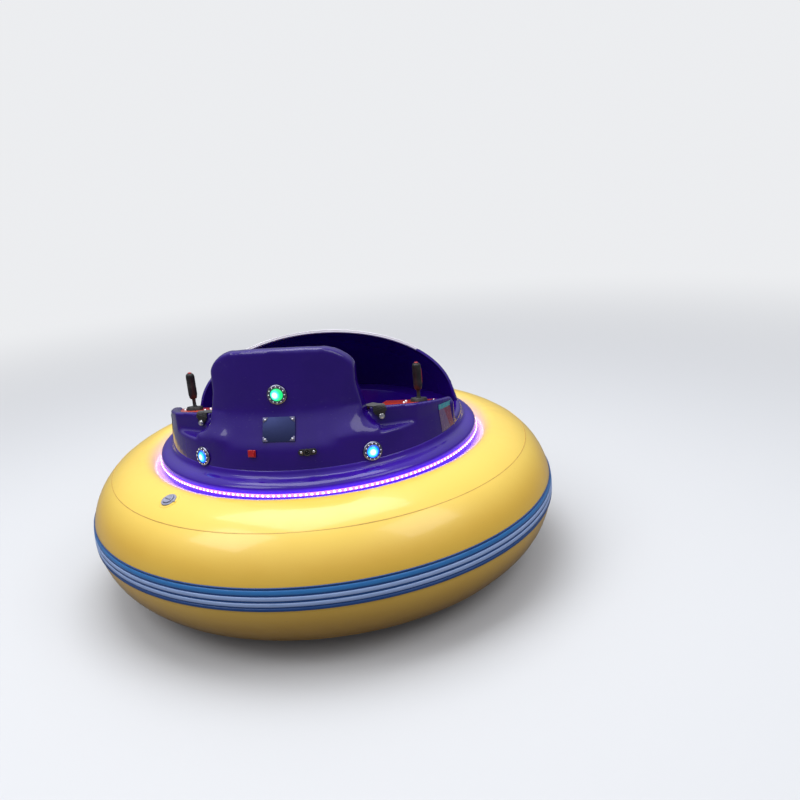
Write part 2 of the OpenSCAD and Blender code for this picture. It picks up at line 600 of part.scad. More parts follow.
pin_d = 12;
fork_top_z = frame_z - 26;
fork_t = 4;
module caster_mounts() color("#8a8f96") for (y = [-caster_y, caster_y]) translate([0, y, 0]) difference() {
    union() {
        translate([-52, -40, frame_z - 4]) cube([104, 80, 4]);
        translate([0, 0, frame_z - 24]) cylinder(d = 62, h = 20.5);
    }
    translate([0, 0, frame_z - 30]) cylinder(d = pin_d + 1, h = 40);
}
module caster_fork() {
    translate([0, 0, fork_top_z - 4]) cylinder(d = 60, h = 4);
    translate([0, 0, fork_top_z - 1]) cylinder(d = pin_d, h = 24);
    for (s = [-1, 1]) translate([s * (caster_w / 2 + 6 + fork_t / 2), 0, 0]) rotate([90, 0, 90])
        linear_extrude(fork_t, center = true) polygon([[-24, fork_top_z], [24, fork_top_z],
            [-caster_trail + 14, caster_d / 2 - 12], [-caster_trail, caster_d / 2 - 16], [-caster_trail - 14, caster_d / 2 - 12]]);
    translate([0, -caster_trail, caster_d / 2]) rotate([0, 90, 0]) cylinder(d = 10, h = caster_w + 12 + 2 * fork_t + 8, center = true);
}
module caster_wheel() translate([0, -caster_trail, caster_d / 2]) rotate([0, 90, 0]) rotate_extrude() polygon([
    [5 + eps, -caster_w / 2 - 4], [14, -caster_w / 2 - 4], [14, -6], [caster_d / 2 - 18, -5], [caster_d / 2 - 14, -caster_w / 2],
    [caster_d / 2 - 5, -caster_w / 2], [caster_d / 2, -caster_w / 2 + 6], [caster_d / 2, caster_w / 2 - 6],
    [caster_d / 2 - 5, caster_w / 2], [caster_d / 2 - 14, caster_w / 2], [caster_d / 2 - 18, 5], [14, 6],
    [14, caster_w / 2 + 4], [5 + eps, caster_w / 2 + 4]]);

bumper_tube();
rub_strip();
air_valve();
hull_tub();
led_strip();
body_wall();
seat_back();
seat_bench();
mirror([1, 0, 0]) console_right();  // console_left
console_right();
mirror([1, 0, 0]) deck_right();  // deck_left
deck_right();
cowl();
cowl_ribs();
windscreen();
screen_border();
cowl_panels();
lamp_bezels();
rear_lamp_lenses();
back_lamp_lens();
front_lamp_lenses();
rear_plate();
power_switch();
charge_socket();
seat_belts();
belt_buckle();
belt_bolts();
joystick_bases();
color("#1b1b1f") stick_place(-1) stick();  // joystick_left
color("#1b1b1f") stick_place(1) stick();  // joystick_right
color("#c92a2a") stick_place(-1) button();  // button_left
color("#c92a2a") stick_place(1) button();  // button_right
frame_rails();
frame_crossmembers();
battery();
drive_motors();
motor_brackets();
color("#b9bdc4") drive_place(-1) drive_rim();  // drive_rim_left
color("#b9bdc4") drive_place(1) drive_rim();  // drive_rim_right
color("#1c1c1e") drive_place(-1) drive_tyre();  // drive_tyre_left
color("#1c1c1e") drive_place(1) drive_tyre();  // drive_tyre_right
caster_mounts();
color("#8a8f96") translate([0, caster_y, 0]) caster_fork();  // caster_fork_front
color("#8a8f96") translate([0, -caster_y, 0]) caster_fork();  // caster_fork_rear
color("#3a3c40") translate([0, caster_y, 0]) caster_wheel();  // caster_wheel_front
color("#3a3c40") translate([0, -caster_y, 0]) caster_wheel();  // caster_wheel_rear
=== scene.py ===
import bpy, math, random
from mathutils import Matrix, Vector, noise


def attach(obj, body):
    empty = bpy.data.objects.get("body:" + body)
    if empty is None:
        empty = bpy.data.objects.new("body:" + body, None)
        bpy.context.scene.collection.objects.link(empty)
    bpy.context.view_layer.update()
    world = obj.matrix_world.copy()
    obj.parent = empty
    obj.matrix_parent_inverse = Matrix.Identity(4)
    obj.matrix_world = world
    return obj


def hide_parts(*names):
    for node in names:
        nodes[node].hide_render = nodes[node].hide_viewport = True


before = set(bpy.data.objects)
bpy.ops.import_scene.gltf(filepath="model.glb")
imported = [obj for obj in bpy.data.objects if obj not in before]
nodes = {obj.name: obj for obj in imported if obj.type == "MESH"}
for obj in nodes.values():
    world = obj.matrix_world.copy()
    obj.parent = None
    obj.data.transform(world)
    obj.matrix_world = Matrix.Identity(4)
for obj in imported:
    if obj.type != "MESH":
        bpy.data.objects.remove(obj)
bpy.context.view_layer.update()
tau = 2 * math.pi
mm = .001


# camera and studio, and the matrices that all places are written with

camera = {"place": (.852, -3.1796, 1.6364), "turn": 9.007, "down": 16.858, "roll": -4.911, "lens": 36.91}
studio = {"sky": .9, "skyTone": (.98, 1.0, 1.04), "horizonTone": (.2, .2, .23), "backTone": (.84, .85, .87),
          "floorTone": (.6, .61, .63), "floorBounce": (.16, .16, .18), "floorR": 60, "fade": (2.2, 7.5), "aimZ": .4,
          "lamps": [((-.4, .4, 5.0), 155, 3.6), ((-2.6, -2.4, 4.4), 60, 2.4), ((3.4, -1.6, 4.0), 45, 2.4)]}
# each lamp has its place, power and size


def moveTo(x, y, z): return Matrix.Translation((x, y, z))
def turnBy(angle, axis): return Matrix.Rotation(angle, 4, axis)
def scaleBy(x, y, z): return Matrix.Diagonal((x, y, z, 1))


mirrorX = scaleBy(-1, 1, 1)

bpy.ops.object.camera_add(location=camera["place"])
cam = bpy.context.object
cam.data.lens = camera["lens"]
cam.matrix_world = (Matrix.Translation(camera["place"]) @ turnBy(math.radians(camera["turn"]), "Z")
                    @ turnBy(math.radians(90 - camera["down"]), "X") @ turnBy(math.radians(camera["roll"]), "Z"))
bpy.context.scene.camera = cam
bpy.context.scene.view_settings.view_transform = "Standard"


# shader maths: a Wire is one output of a node, and sums on it add Math nodes

class Wire:
    def __init__(self, look, socket):
        self.look, self.socket = look, socket

    def maths(self, kind, a, b=0.0):
        return self.look.node("ShaderNodeMath", {"operation": kind}, {0: a, 1: b})

    def __add__(self, other): return self.maths("ADD", self, other)
    def __radd__(self, other): return self.maths("ADD", other, self)
    def __sub__(self, other): return self.maths("SUBTRACT", self, other)
    def __mul__(self, other): return self.maths("MULTIPLY", self, other)
    def __pow__(self, other): return self.maths("POWER", self, other)

    def sine(self): return self.maths("SINE", self)
    def atLeast(self, other): return self.maths("MAXIMUM", self, other)

    def between(self, low, high, a=0.0, b=1.0):   # a soft step from a to b as the value goes from low to high
        return self.look.node("ShaderNodeMapRange", {"interpolation_type": "SMOOTHSTEP"},
                              {"Value": self, "From Min": low, "From Max": high, "To Min": a, "To Max": b})


class Look:
    def __init__(self, name, **values):
        self.material = bpy.data.materials.new(name)
        self.material.use_nodes = True
        self.tree = self.material.node_tree
        self.shader = self.tree.nodes["Principled BSDF"]
        self.feed(self.shader, values)

    def feed(self, target, values):
        for key, value in values.items():
            key = key.replace("_", " ") if isinstance(key, str) else key
            socket = target.inputs[key]
            if isinstance(value, Wire):
                self.tree.links.new(value.socket, socket)
            elif hasattr(socket.default_value, "__len__") and not isinstance(value, (int, float)):
                socket.default_value = tuple(value) + (1.0,) * (len(socket.default_value) - len(value))
            else:
                socket.default_value = value

    def node(self, kind, settings=None, values=None, out=0):
        made = self.tree.nodes.new(kind)
        for key, value in (settings or {}).items():
            if key == "stops":
                ramp = made.color_ramp
                while len(ramp.elements) < len(value):
                    ramp.elements.new(.5)
                for stop, (place, tone) in zip(ramp.elements, value):
                    stop.position, stop.color = place, tuple(tone) + (1.0,)
            else:
                setattr(made, key, value)
        self.feed(made, values or {})
        outs = [s for s in made.outputs if s.enabled]
        return Wire(self, outs[out] if isinstance(out, int) else made.outputs[out])

    def set(self, **values):
        self.feed(self.shader, values)
        return self

    def place(self):
        return self.node("ShaderNodeTexCoord", out="Object")

    def axis(self, place, name):
        return self.node("ShaderNodeSeparateXYZ", {}, {"Vector": place}, out=name)

    def stretch(self, place, scale):
        return self.node("ShaderNodeVectorMath", {"operation": "MULTIPLY"}, {0: place, 1: scale})

    def speckle(self, place, scale, detail=3.0, rough=.55):
        return self.node("ShaderNodeTexNoise", {}, {"Vector": place, "Scale": scale, "Detail": detail,
                                                    "Roughness": rough})

    def cells(self, place, scale):
        return self.node("ShaderNodeTexVoronoi", {}, {"Vector": place, "Scale": scale})

    def fromAxis(self, place):   # how far a place is from the upright middle axis
        x, y = self.axis(place, "X"), self.axis(place, "Y")
        return (x * x + y * y) ** .5

    def glow(self, share, colour):
        return self.set(Emission_Color=self.blend(share, (0.0, 0.0, 0.0), colour), Emission_Strength=1.0)

    def blend(self, share, a, b):
        mixed = self.tree.nodes.new("ShaderNodeMix")
        mixed.data_type = "RGBA"
        for socket, value in zip((mixed.inputs[0], mixed.inputs[6], mixed.inputs[7]), (share, a, b)):
            if isinstance(value, Wire):
                self.tree.links.new(value.socket, socket)
            else:
                socket.default_value = value if isinstance(value, (int, float)) else tuple(value) + (1.0,)
        return Wire(self, mixed.outputs[2])

    def bump(self, height, depth, strength=1.0, under=None):
        values = {"Height": height, "Distance": depth, "Strength": strength}
        if under:
            values["Normal"] = under
        return self.node("ShaderNodeBump", {}, values)


def tone(code):   # from a colour chart's code to the linear scale of light
    parts = [int(code[i:i + 2], 16) / 255 for i in (1, 3, 5)]
    return tuple(c / 12.92 if c < .04045 else ((c + .055) / 1.055) ** 2.4 for c in parts)


# tools for meshes

def deselect():
    if bpy.context.object and bpy.context.object.mode != "OBJECT":
        bpy.ops.object.mode_set(mode="OBJECT")
    bpy.ops.object.select_all(action="DESELECT")


def activate(*objects):
    deselect()
    for o in objects:
        o.select_set(True)
    bpy.context.view_layer.objects.active = objects[0]
    return objects[0]


def edit(o, kind="VERT", everything=True):
    activate(o)
    bpy.ops.object.mode_set(mode="EDIT")
    bpy.ops.mesh.select_mode(type=kind)
    bpy.ops.mesh.select_all(action="SELECT" if everything else "DESELECT")


def pick(o, test):   # edit mode, with the faces selected whose normal passes a test
    edit(o, "FACE", False)
    bpy.ops.object.mode_set(mode="OBJECT")
    for f in o.data.polygons:
        f.select = test(f.normal)
    bpy.ops.object.mode_set(mode="EDIT")


def done():
    bpy.ops.object.mode_set(mode="OBJECT")
    return bpy.context.object


def weld(o, gap=.00002, outward=True):
    edit(o)
    bpy.ops.mesh.remove_doubles(threshold=gap)
    if outward:
        bpy.ops.mesh.normals_make_consistent(inside=False)
    return done()


def settle(o):   # the place goes from the object into its mesh
    activate(o)
    bpy.ops.object.transform_apply(location=True, rotation=True, scale=True)
    return o


def applyAll(o):
    activate(o)
    for m in list(o.modifiers):
        bpy.ops.object.modifier_apply(modifier=m.name)
    return o


def modify(o, kind, **values):
    m = o.modifiers.new(kind.lower(), kind)
    for key, value in values.items():
        setattr(m, key, value)
    return applyAll(o)


def bevel(o, width, segments=3, angle=30):
    return modify(o, "BEVEL", width=width, segments=segments, limit_method="ANGLE", angle_limit=math.radians(angle))


def turned(profile, steps=64, closed=True):
    # a profile of (radius, height) spun about Z
    deselect()
    bpy.ops.mesh.primitive_plane_add(size=.01)
    o = bpy.context.object
    edit(o)
    bpy.ops.mesh.merge(type="CENTER")
    first = Vector((profile[0][0], 0, profile[0][1]))
    bpy.ops.transform.translate(value=first)
    at = first
    for r, z in list(profile[1:]) + ([profile[0]] if closed else []):
        step = Vector((r, 0, z)) - at
        bpy.ops.mesh.extrude_region_move(TRANSFORM_OT_translate={"value": step})
        at = at + step
    bpy.ops.mesh.select_all(action="SELECT")
    bpy.ops.mesh.spin(steps=steps, angle=tau, center=(0, 0, 0), axis=(0, 0, 1))
    done()
    return weld(o)


def gridPiece(columns, rows, where):
    # a grid whose vertices are set by where(i, j), with i and j from 0 to 1
    deselect()
    bpy.ops.mesh.primitive_grid_add(x_subdivisions=columns, y_subdivisions=rows, size=2)
    o = bpy.context.object
    for v in o.data.vertices:
        v.co = where((v.co.x + 1) / 2, (v.co.y + 1) / 2)
    return o


def unwrap(o, where):   # each vertex has the UV that where(place) gives
    layer = o.data.uv_layers.active or o.data.uv_layers.new(name="UVMap")
    for loop in o.data.loops:
        layer.data[loop.index].uv = where(o.data.vertices[loop.vertex_index])


def box(size, centre=(0, 0, 0), rounding=0.0, segments=3):
    deselect()
    bpy.ops.mesh.primitive_cube_add(size=1, location=centre, scale=size)
    o = settle(bpy.context.object)
    return bevel(o, rounding, segments) if rounding else o


def copyOf(o):
    made = o.copy()
    made.data = o.data.copy()
    made.parent = None
    bpy.context.collection.objects.link(made)
    return made


def placed(o, matrix):
    o.data.transform(matrix)
    if matrix.determinant() < 0:
        o.data.flip_normals()
    return o


def copied(o, matrix):
    return placed(copyOf(o), matrix)


def joined(*objects):
    if len(objects) > 1:
        activate(*objects)
        bpy.ops.object.join()
    return objects[0]


def bothSides(o):
    return joined(o, copied(o, mirrorX))


def drop(*objects):
    for o in objects:
        bpy.data.objects.remove(o)


def nodeCopy(*names):
    o = joined(*[copyOf(nodes[name]) for name in names])
    o.data.materials.clear()
    return weld(o, .00001, outward=False)


def coat(o, *looks):
    o.data.materials.clear()
    for l in looks:
        o.data.materials.append(l.material)


def piece(o, name, look, stands=(), body="chassis", angle=40):
    # a visible piece: its name, look and smoothing, and the body that it rides on
    settle(o)
    o.name = o.data.name = name
    if look:
        coat(o, look)
    bpy.ops.object.shade_smooth_by_angle(angle=math.radians(angle))
    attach(o, body)
    if stands:
        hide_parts(*stands)


def softStep(x):
    x = min(max(x, 0.0), 1.0)
    return x * x * (3 - 2 * x)


def rise(x, start, over): return softStep((x - start) / over)
def fall(x, end, over): return softStep((end - x) / over)


def arc(cx, cy, r, a0, a1, n):
    turns = [math.radians(a0 + (a1 - a0) * i / n) for i in range(n + 1)]
    return [(cx + r * math.cos(a), cy + r * math.sin(a)) for a in turns]


# finishes

def gelcoat(name, colour, depth, scuffs=1.0):
    look = Look(name, Roughness=.16, Specular_IOR_Level=.25, Coat_Weight=.4, Coat_Roughness=.03)
    at = look.place()
    cloud = look.speckle(at, 3.0, 4)
    peel = look.speckle(at, 210.0, 2)
    fine = look.speckle(look.stretch(at, (1, 1, 6)), 60.0, 5, .7)
    scratch = fine.between(.64, .7) * look.speckle(at, 5.0, 2).between(.5, .62)
    dust = look.speckle(at, 14.0, 6, .7).between(.55, .8)
    base = look.blend(cloud.between(.3, .7), colour, depth)
    base = look.blend(scratch * .12 * scuffs + dust * .015, base, (.42, .4, .45))
    look.set(Base_Color=base, Roughness=.13 + scratch * .3 + dust * .12 + cloud * .05,
             Normal=look.bump(peel, .00012, .5, look.bump(cloud, .004, .12)))
    return look


purple = gelcoat("bodyGelcoat", tone("#2a0b78"), tone("#22086a"))
deckRed = gelcoat("deckGelcoat", tone("#dc4a2b"), tone("#cf3f24"), .7)
lilac = gelcoat("panelGelcoat", tone("#8f7ce2"), tone("#8370da"), .5)
white = gelcoat("stripeGelcoat", tone("#eceaf2"), tone("#e2e0ea"), .4)


def tubeSkin():
    look = Look("tubeSkin", Coat_Weight=.45, Coat_Roughness=.09)
    at = look.place()
    x, y, z = (look.axis(at, n) for n in "XYZ")
    weave = (x * 900.0).sine() * (y * 900.0).sine() + (z * 900.0).sine() * .5
    cloud = look.speckle(at, 2.2, 3)
    grime = look.speckle(at, 16.0, 7, .68)
    marks = look.speckle(look.stretch(at, (1, 1, 5)), 26.0, 4, .7).between(.66, .73)
    rubs = marks * z.between(.1, .34, 1.0, .25)
    layers = [(cloud.between(.3, .7), "#e8ba44"), (z.between(.38, .5) * .5, "#f2d860"),   # painted highlight makes it paler on top, painted shade makes it darker below
              (z.between(.1, .32, 1.0, 0.0), "#c2953c"),
              (z.between(.02, .22, 1.0, 0.0) * grime.between(.35, .7) * .5, "#a8823e"), (rubs * .35, "#8a6a3a")]
    base = tone("#ecc14c")
    for share, colour in layers:
        base = look.blend(share, base, tone(colour))
    look.set(Base_Color=base, Roughness=.3 + grime.between(.4, .8) * .12 + rubs * .2,
             Normal=look.bump(weave, .00004, .35, look.bump(look.speckle(at, 9.0, 3), .002, .25)))
    shed = look.fromAxis(at).between(.652, .735, 1.0, 0.0) * z.between(.44, .48)
    return look.glow(shed * shed, (.1, 0.0, .62))   # the light strip tints the tube beside it


tubeYellow = tubeSkin()


def seamTape():
    look = Look("seamTape", Coat_Weight=.15)
    at = look.place()
    grime = look.speckle(at, 40.0, 5, .65)
    look.set(Base_Color=look.blend(grime.between(.35, .75), tone("#cfa243"), tone("#b58a3c")),
             Roughness=.4 + grime * .15, Normal=look.bump(look.speckle(at, 160.0, 3), .0002, .4))
    return look


tubeSeam = seamTape()


def stripBand(name, colour, worn):
    look = Look(name, Coat_Weight=.1)
    at = look.place()
    rub = look.speckle(look.stretch(at, (1, 1, 7)), 18.0, 6, .7)
    grain = look.speckle(at, 120.0, 3)
    base = look.blend(rub.between(.5, .72) * .6, colour, worn)
    look.set(Base_Color=base, Roughness=.36 + rub.between(.45, .8) * .25,
             Normal=look.bump(grain, .0002, .4))
    return look


stripDark = stripBand("stripDark", tone("#0e4484"), tone("#0b3264"))
stripBlue = stripBand("stripBlue", tone("#2c77bb"), tone("#1f5f9f"))
stripPale = stripBand("stripPale", tone("#98b0dc"), tone("#6f92c8"))


def moulded(name, colour, grain=.0004, rough=.45, scale=180.0):
    look = Look(name)
    at = look.place()
    pebble = look.cells(at, scale)
    dust = look.speckle(at, 30.0, 5, .7)
    look.set(Base_Color=look.blend(dust.between(.45, .8) * .35, colour, tuple(c * .5 + .09 for c in colour)),
             Roughness=rough + dust * .15, Normal=look.bump(pebble, grain, .35))
    return look


black = moulded("blackPlastic", tone("#17171a"))
gripBlack = moulded("gripPlastic", tone("#121214"), .0005, .38, 320.0)
greyPlastic = moulded("valvePlastic", tone("#8d90a6"), .0003, .35)
redPlastic = moulded("redPlastic", tone("#a8141c"), .0001, .22)


def metal(name, colour, rough, brushed=0.0, scale=90.0):
    look = Look(name, Metallic=1.0)
    at = look.place()
    fine = look.speckle(look.stretch(at, (1, 1, 9)) if brushed else at, scale, 4, .6)
    stain = look.speckle(at, 22.0, 5, .65)
    look.set(Base_Color=look.blend(stain.between(.5, .8) * .5, colour, tuple(c * .62 for c in colour)),
             Roughness=rough + fine * .12 + stain.between(.5, .8) * .15,
             Normal=look.bump(fine, .0002, .2 + brushed))
    return look


chrome = metal("chromePlate", (.7, .7, .73), .07)
cornerMetal = metal("cornerMetal", (.17, .16, .26), .36, .2)
# the lamp bezels are chrome, darkened here as a painted reflection of dark surroundings
lampChrome = metal("lampChrome", (.22, .22, .3), .12)
# a dark brushed metal plate; its blue-purple tint is a painted reflection of the purple body around it
plateMetal = metal("plateMetal", (.04, .05, .14), .42, .3)
zinc = metal("zincPlate", (.62, .63, .62), .32, .1)
alloy = metal("rimAlloy", (.6, .61, .63), .34)


def coated(name, colour):
    look = Look(name)
    at = look.place()
    peel = look.speckle(at, 150.0, 3)
    wear = look.speckle(at, 12.0, 6, .7).between(.62, .72)
    look.set(Base_Color=look.blend(wear * .7, colour, tone("#6b5a4a")), Roughness=.42 + wear * .3,
             Normal=look.bump(peel, .0004, .4))
    return look


framePaint = coated("framePaint", tone("#2a2c30"))
motorPaint = coated("motorPaint", tone("#6d7278"))


def tread(name, colour, dirt):
    look = Look(name)
    at = look.place()
    grime = look.speckle(at, 35.0, 6, .7)
    look.set(Base_Color=look.blend(grime.between(.4, .7), colour, dirt), Roughness=.72 + grime * .15,
             Normal=look.bump(look.speckle(at, 240.0, 4), .0006, .6))
    return look


tyreRubber = tread("tyreRubber", tone("#1b1b1d"), tone("#4a463f"))
casterRubber = tread("casterRubber", tone("#3c3e42"), tone("#5a564e"))


def webbing():
    look = Look("beltWebbing", Sheen_Weight=.3, Sheen_Roughness=.5)
    at = look.node("ShaderNodeUVMap")
    u, v = (look.axis(at, n) for n in "XY")
    rows = (v * 2400.0 + (u * 1300.0).sine() * .8).sine()
    ribs = (u * 2000.0).sine()
    look.set(Base_Color=look.blend(rows.between(-1.0, 1.0), tone("#0d0d10"), tone("#222227")), Roughness=.62,
             Normal=look.bump(rows * .6 + ribs * .4, .0004, .7))
    return look


strap = webbing()


# stage and light

def makeStage():
    deselect()
    bpy.ops.mesh.primitive_circle_add(vertices=96, radius=studio["floorR"], fill_type="NGON")
    floor = bpy.context.object
    floor.name = floor.data.name = "floor"
    look = Look("floorPaint", Roughness=.75)
    rays = look.tree.nodes.new("ShaderNodeLightPath")   # the floor throws less light back than it shows
    seen = Wire(look, rays.outputs["Is Camera Ray"]).atLeast(Wire(look, rays.outputs["Is Transmission Ray"]))
    look.set(Base_Color=look.blend(seen, studio["floorBounce"], studio["floorTone"]))
    pale = look.node("ShaderNodeEmission", {}, {"Color": look.blend(seen, studio["horizonTone"], studio["backTone"]),
                                                "Strength": 1.0})
    far = look.fromAxis(look.place()).between(*studio["fade"])   # far away it runs into the backdrop
    both = look.node("ShaderNodeMixShader", {}, {0: far, 1: Wire(look, look.shader.outputs[0]), 2: pale})
    look.tree.links.new(both.socket, look.tree.nodes["Material Output"].inputs["Surface"])
    floor.data.materials.append(look.material)

    world = bpy.data.worlds.new("studioWorld")
    bpy.context.scene.world = world
    world.use_nodes = True
    sky = Look.__new__(Look)
    sky.tree = world.node_tree
    sky.tree.nodes.clear()
    up = sky.axis(sky.node("ShaderNodeTexCoord", out="Generated"), "Z")
    shine = sky.blend(up.between(0.0, .85), studio["horizonTone"], studio["skyTone"])
    seen = Wire(sky, sky.tree.nodes.new("ShaderNodeLightPath").outputs["Is Camera Ray"])
    soft = sky.node("ShaderNodeBackground", {}, {"Color": shine, "Strength": studio["sky"]})
    back = sky.node("ShaderNodeBackground", {}, {"Color": studio["backTone"], "Strength": 1.0})
    both = sky.node("ShaderNodeMixShader", {}, {0: seen, 1: soft, 2: back})
    sky.tree.links.new(both.socket, sky.tree.nodes.new("ShaderNodeOutputWorld").inputs["Surface"])

    for place, power, size in studio["lamps"]:
        deselect()
        bpy.ops.object.light_add(type="AREA", location=place)
        lamp = bpy.context.object
        lamp.data.energy, lamp.data.size = power, size
        lamp.rotation_euler = (Vector((0, 0, studio["aimZ"])) - Vector(place)).to_track_quat("-Z", "Y").to_euler()


makeStage()
print("stage ready")


# inflated tube

tube = {"midR": .686, "halfW": .26, "halfH": .257, "midZ": .288, "holeR": .5065, "steps": 288, "rows": 96,
        "crown": [(.527, .495), (.598, .5047), (.656, .5047), (.666, .515), (.682, .531), (.704, .541)],
        "seams": (50.6, -52.0, 231.0), "seamWide": .0034, "ripple": .0008,
        "folds": 46, "foldDeep": .0016, "foldR": .7, "foldOver": .05, "topFrom": .45, "moveFrom": .672}


def tubePoint(a, out=0.0):   # a point of the round section, at an angle from its outermost side
    a = math.radians(a)
    return ((tube["halfW"] + out) * math.cos(a) + tube["midR"], (tube["halfH"] + out) * math.sin(a) + tube["midZ"])


def crownHeight(r):
    for (r0, z0), (r1, z1) in zip(tube["crown"], tube["crown"][1:]):
        if r0 <= r <= r1:
            return z0 + (z1 - z0) * (r - r0) / (r1 - r0)
    return math.inf


def makeTube():
    profile = []
    for i in range(tube["rows"]):
        r, z = tubePoint(360.0 * i / tube["rows"])
        if z > tube["topFrom"]:
            z = min(z, crownHeight(r))
        profile.append((max(r, tube["holeR"]), z))
    o = turned(profile, tube["steps"])
    rng = random.Random(4)
    folds = [(rng.uniform(0, tau), rng.uniform(.01, .022), rng.uniform(.4, 1.0)) for k in range(tube["folds"])]
    for v in o.data.vertices:
        x, y, z = v.co
        r, a = math.hypot(x, y), math.atan2(y, x) % tau
        push = tube["ripple"] * noise.noise(Vector((x * 3, y * 3, z * 3)))
        near = math.exp(-((r - tube["foldR"]) / tube["foldOver"]) ** 2) if z > tube["topFrom"] else 0.0
        for centre, wide, deep in folds:   # small puckers where the crown leaves the flange
            off = (a - centre + math.pi) % tau - math.pi
            if near > .01 and abs(off) < 3 * wide:
                push -= tube["foldDeep"] * deep * near * math.exp(-(off / wide) ** 2)
        n = Vector((x * (r - tube["midR"]) / r, y * (r - tube["midR"]) / r, z - tube["midZ"])).normalized()
        if r > tube["moveFrom"] and push:
            v.co += n * push
    piece(o, "inflatedTube", tubeYellow, ["bumper_tube"], angle=60)


def makeSeams():
    # welded tapes that run round the tube above and below
    tapes = []
    half = math.degrees(tube["seamWide"] / 2 / tube["halfH"])
    for middle in tube["seams"]:
        ring = [tubePoint(middle + half * k / 3, .0006 if abs(k) < 3 else -.0004) for k in range(-3, 4)]
        ring += [tubePoint(middle + half * k / 3, -.0012) for k in range(3, -4, -1)]
        tapes.append(turned(ring, tube["steps"]))
    piece(joined(*tapes), "tubeSeams", tubeSeam, angle=60)


makeTube()
makeSeams()
print("tube ready")


# rub strip round the tube

strip = {"mid": 2.2, "high": .084, "ribs": [(0.0, .14), (.2, .37), (.46, .63), (.7, .9), (.94, 1.0)],
         "bands": [stripDark, stripPale, stripPale, stripBlue, stripDark],
         "rib": [(0, .0016), (.05, .0028), (.13, .0037), (.3, .0042), (.7, .0042), (.87, .0037), (.95, .0028),
                 (1, .0016)]}


def makeStrip():
    half = math.degrees(strip["high"] / 2 / tube["halfH"])
    low, span = strip["mid"] - half, 2 * half
    ring = [tubePoint(low + span * (a + (b - a) * share), out) for a, b in strip["ribs"]
            for share, out in strip["rib"]]
    ring += [tubePoint(low + span * (8 - i) / 8, .0003) for i in range(9)]
    o = turned(ring, tube["steps"])
    looks = [stripDark, stripBlue, stripPale]
    coat(o, *looks)
    for f in o.data.polygons:
        sine = (f.center.z - tube["midZ"]) / (tube["halfH"] + .002)
        share = (math.degrees(math.asin(max(-1, min(1, sine)))) - low) / span
        band = next((strip["bands"][k] for k, (a, b) in enumerate(strip["ribs"]) if a - .01 <= share <= b + .01),
                    stripDark)
        f.material_index = looks.index(band)
    piece(o, "rubStrip", None, ["rub_strip"], angle=50)


makeStrip()
print("rub strip ready")


# hull with its flange, skirt and ledge

def hullSkin():
    # its purple is a lighter copy of the body's, painted so that the skirt and ledge look lit
    look = gelcoat("hullGelcoat", tone("#350c98"), tone("#2c0a88"))
    at = look.place()
    shed = look.fromAxis(at).between(.634, .648) * look.axis(at, "Z").between(.54, .56, 1.0, 0.0)
    return look.glow(shed, (.045, 0.0, .85))   # light that the strip sheds on the skirt


hull = {"steps": 256, "profile": [
    (0, .222), (.47, .222), (.48, .2232), (.49, .229), (.4965, .237), (.498, .246), (.498, .508), (.4995, .5115),
    (.503, .513), (.622, .513), (.628, .511), (.634, .5066), (.638, .505), (.6455, .505), (.6492, .5065),
    (.65, .5105), (.65, .55), (.6495, .5535), (.6482, .5567), (.646, .5597), (.643, .5625), (.6393, .5652),
    (.635, .5678), (.63, .5702), (.624, .5724), (.6175, .5743), (.611, .5762), (.606, .5787), (.6025, .5825),
    (.6, .5875), (.5982, .593), (.5968, .5985), (.5955, .601), (.5942, .6016), (.59, .6016), (.589, .576),
    (.496, .576), (.4915, .5745), (.49, .571), (.49, .25), (.4885, .241), (.482, .2335), (.472, .23), (0, .23)]}


def makeHull():
    piece(turned(hull["profile"], hull["steps"], closed=False), "hullMoulding", hullSkin(), ["hull_tub"],
          angle=38)


makeHull()


# light strip: a clear channel with beads

ledStrip = {"low": .5255, "high": .5375, "r": .6503, "deep": .0036, "beads": 212, "beadR": .0045}


def glowing(name, colour, power):
    look = Look(name, Roughness=.25, Coat_Weight=.4, Coat_Roughness=.08)
    cloud = look.speckle(look.place(), 60.0, 3)
    look.set(Base_Color=look.blend(cloud.between(.3, .7), colour, tuple(c * .85 for c in colour)),
             Emission_Color=look.blend(cloud.between(.35, .65), colour, tuple(min(1, c * .8 + .1) for c in colour)),
             Emission_Strength=power, Normal=look.bump(cloud, .0004, .3))
    return look


ledCover = glowing("ledCover", (.46, .14, 1.0), 1.35)
ledBead = glowing("ledBead", (1.0, .8, 1.0), 5.0)


def makeLedStrip():
    s = ledStrip
    mid, half = (s["low"] + s["high"]) / 2, (s["high"] - s["low"]) / 2
    front = [(s["r"] + s["deep"] * (1 - (k / 4) ** 4 * .5), mid + half * k / 4.2) for k in range(-4, 5)]
    section = [(s["r"] + .0001, mid - half)] + front + [(s["r"] + .0001, mid + half)]
    piece(turned(section, hull["steps"]), "ledChannel", ledCover, ["led_strip"], angle=50)
    deselect()
    bpy.ops.mesh.primitive_uv_sphere_add(segments=8, ring_count=6, radius=s["beadR"])
    bead = settle(bpy.context.object)
    spots = [turnBy(tau * k / s["beads"], "Z") @ moveTo(s["r"] + .0013, 0, mid) for k in range(s["beads"])]
    beads = [copied(bead, spot @ scaleBy(.8, 1.3, 1)) for spot in spots]
    drop(bead)
    piece(joined(*beads), "ledBeads", ledBead, angle=60)


makeLedStrip()
print("hull and light strip ready")


# body: wall, sills, seat back and consoles as one smooth moulding

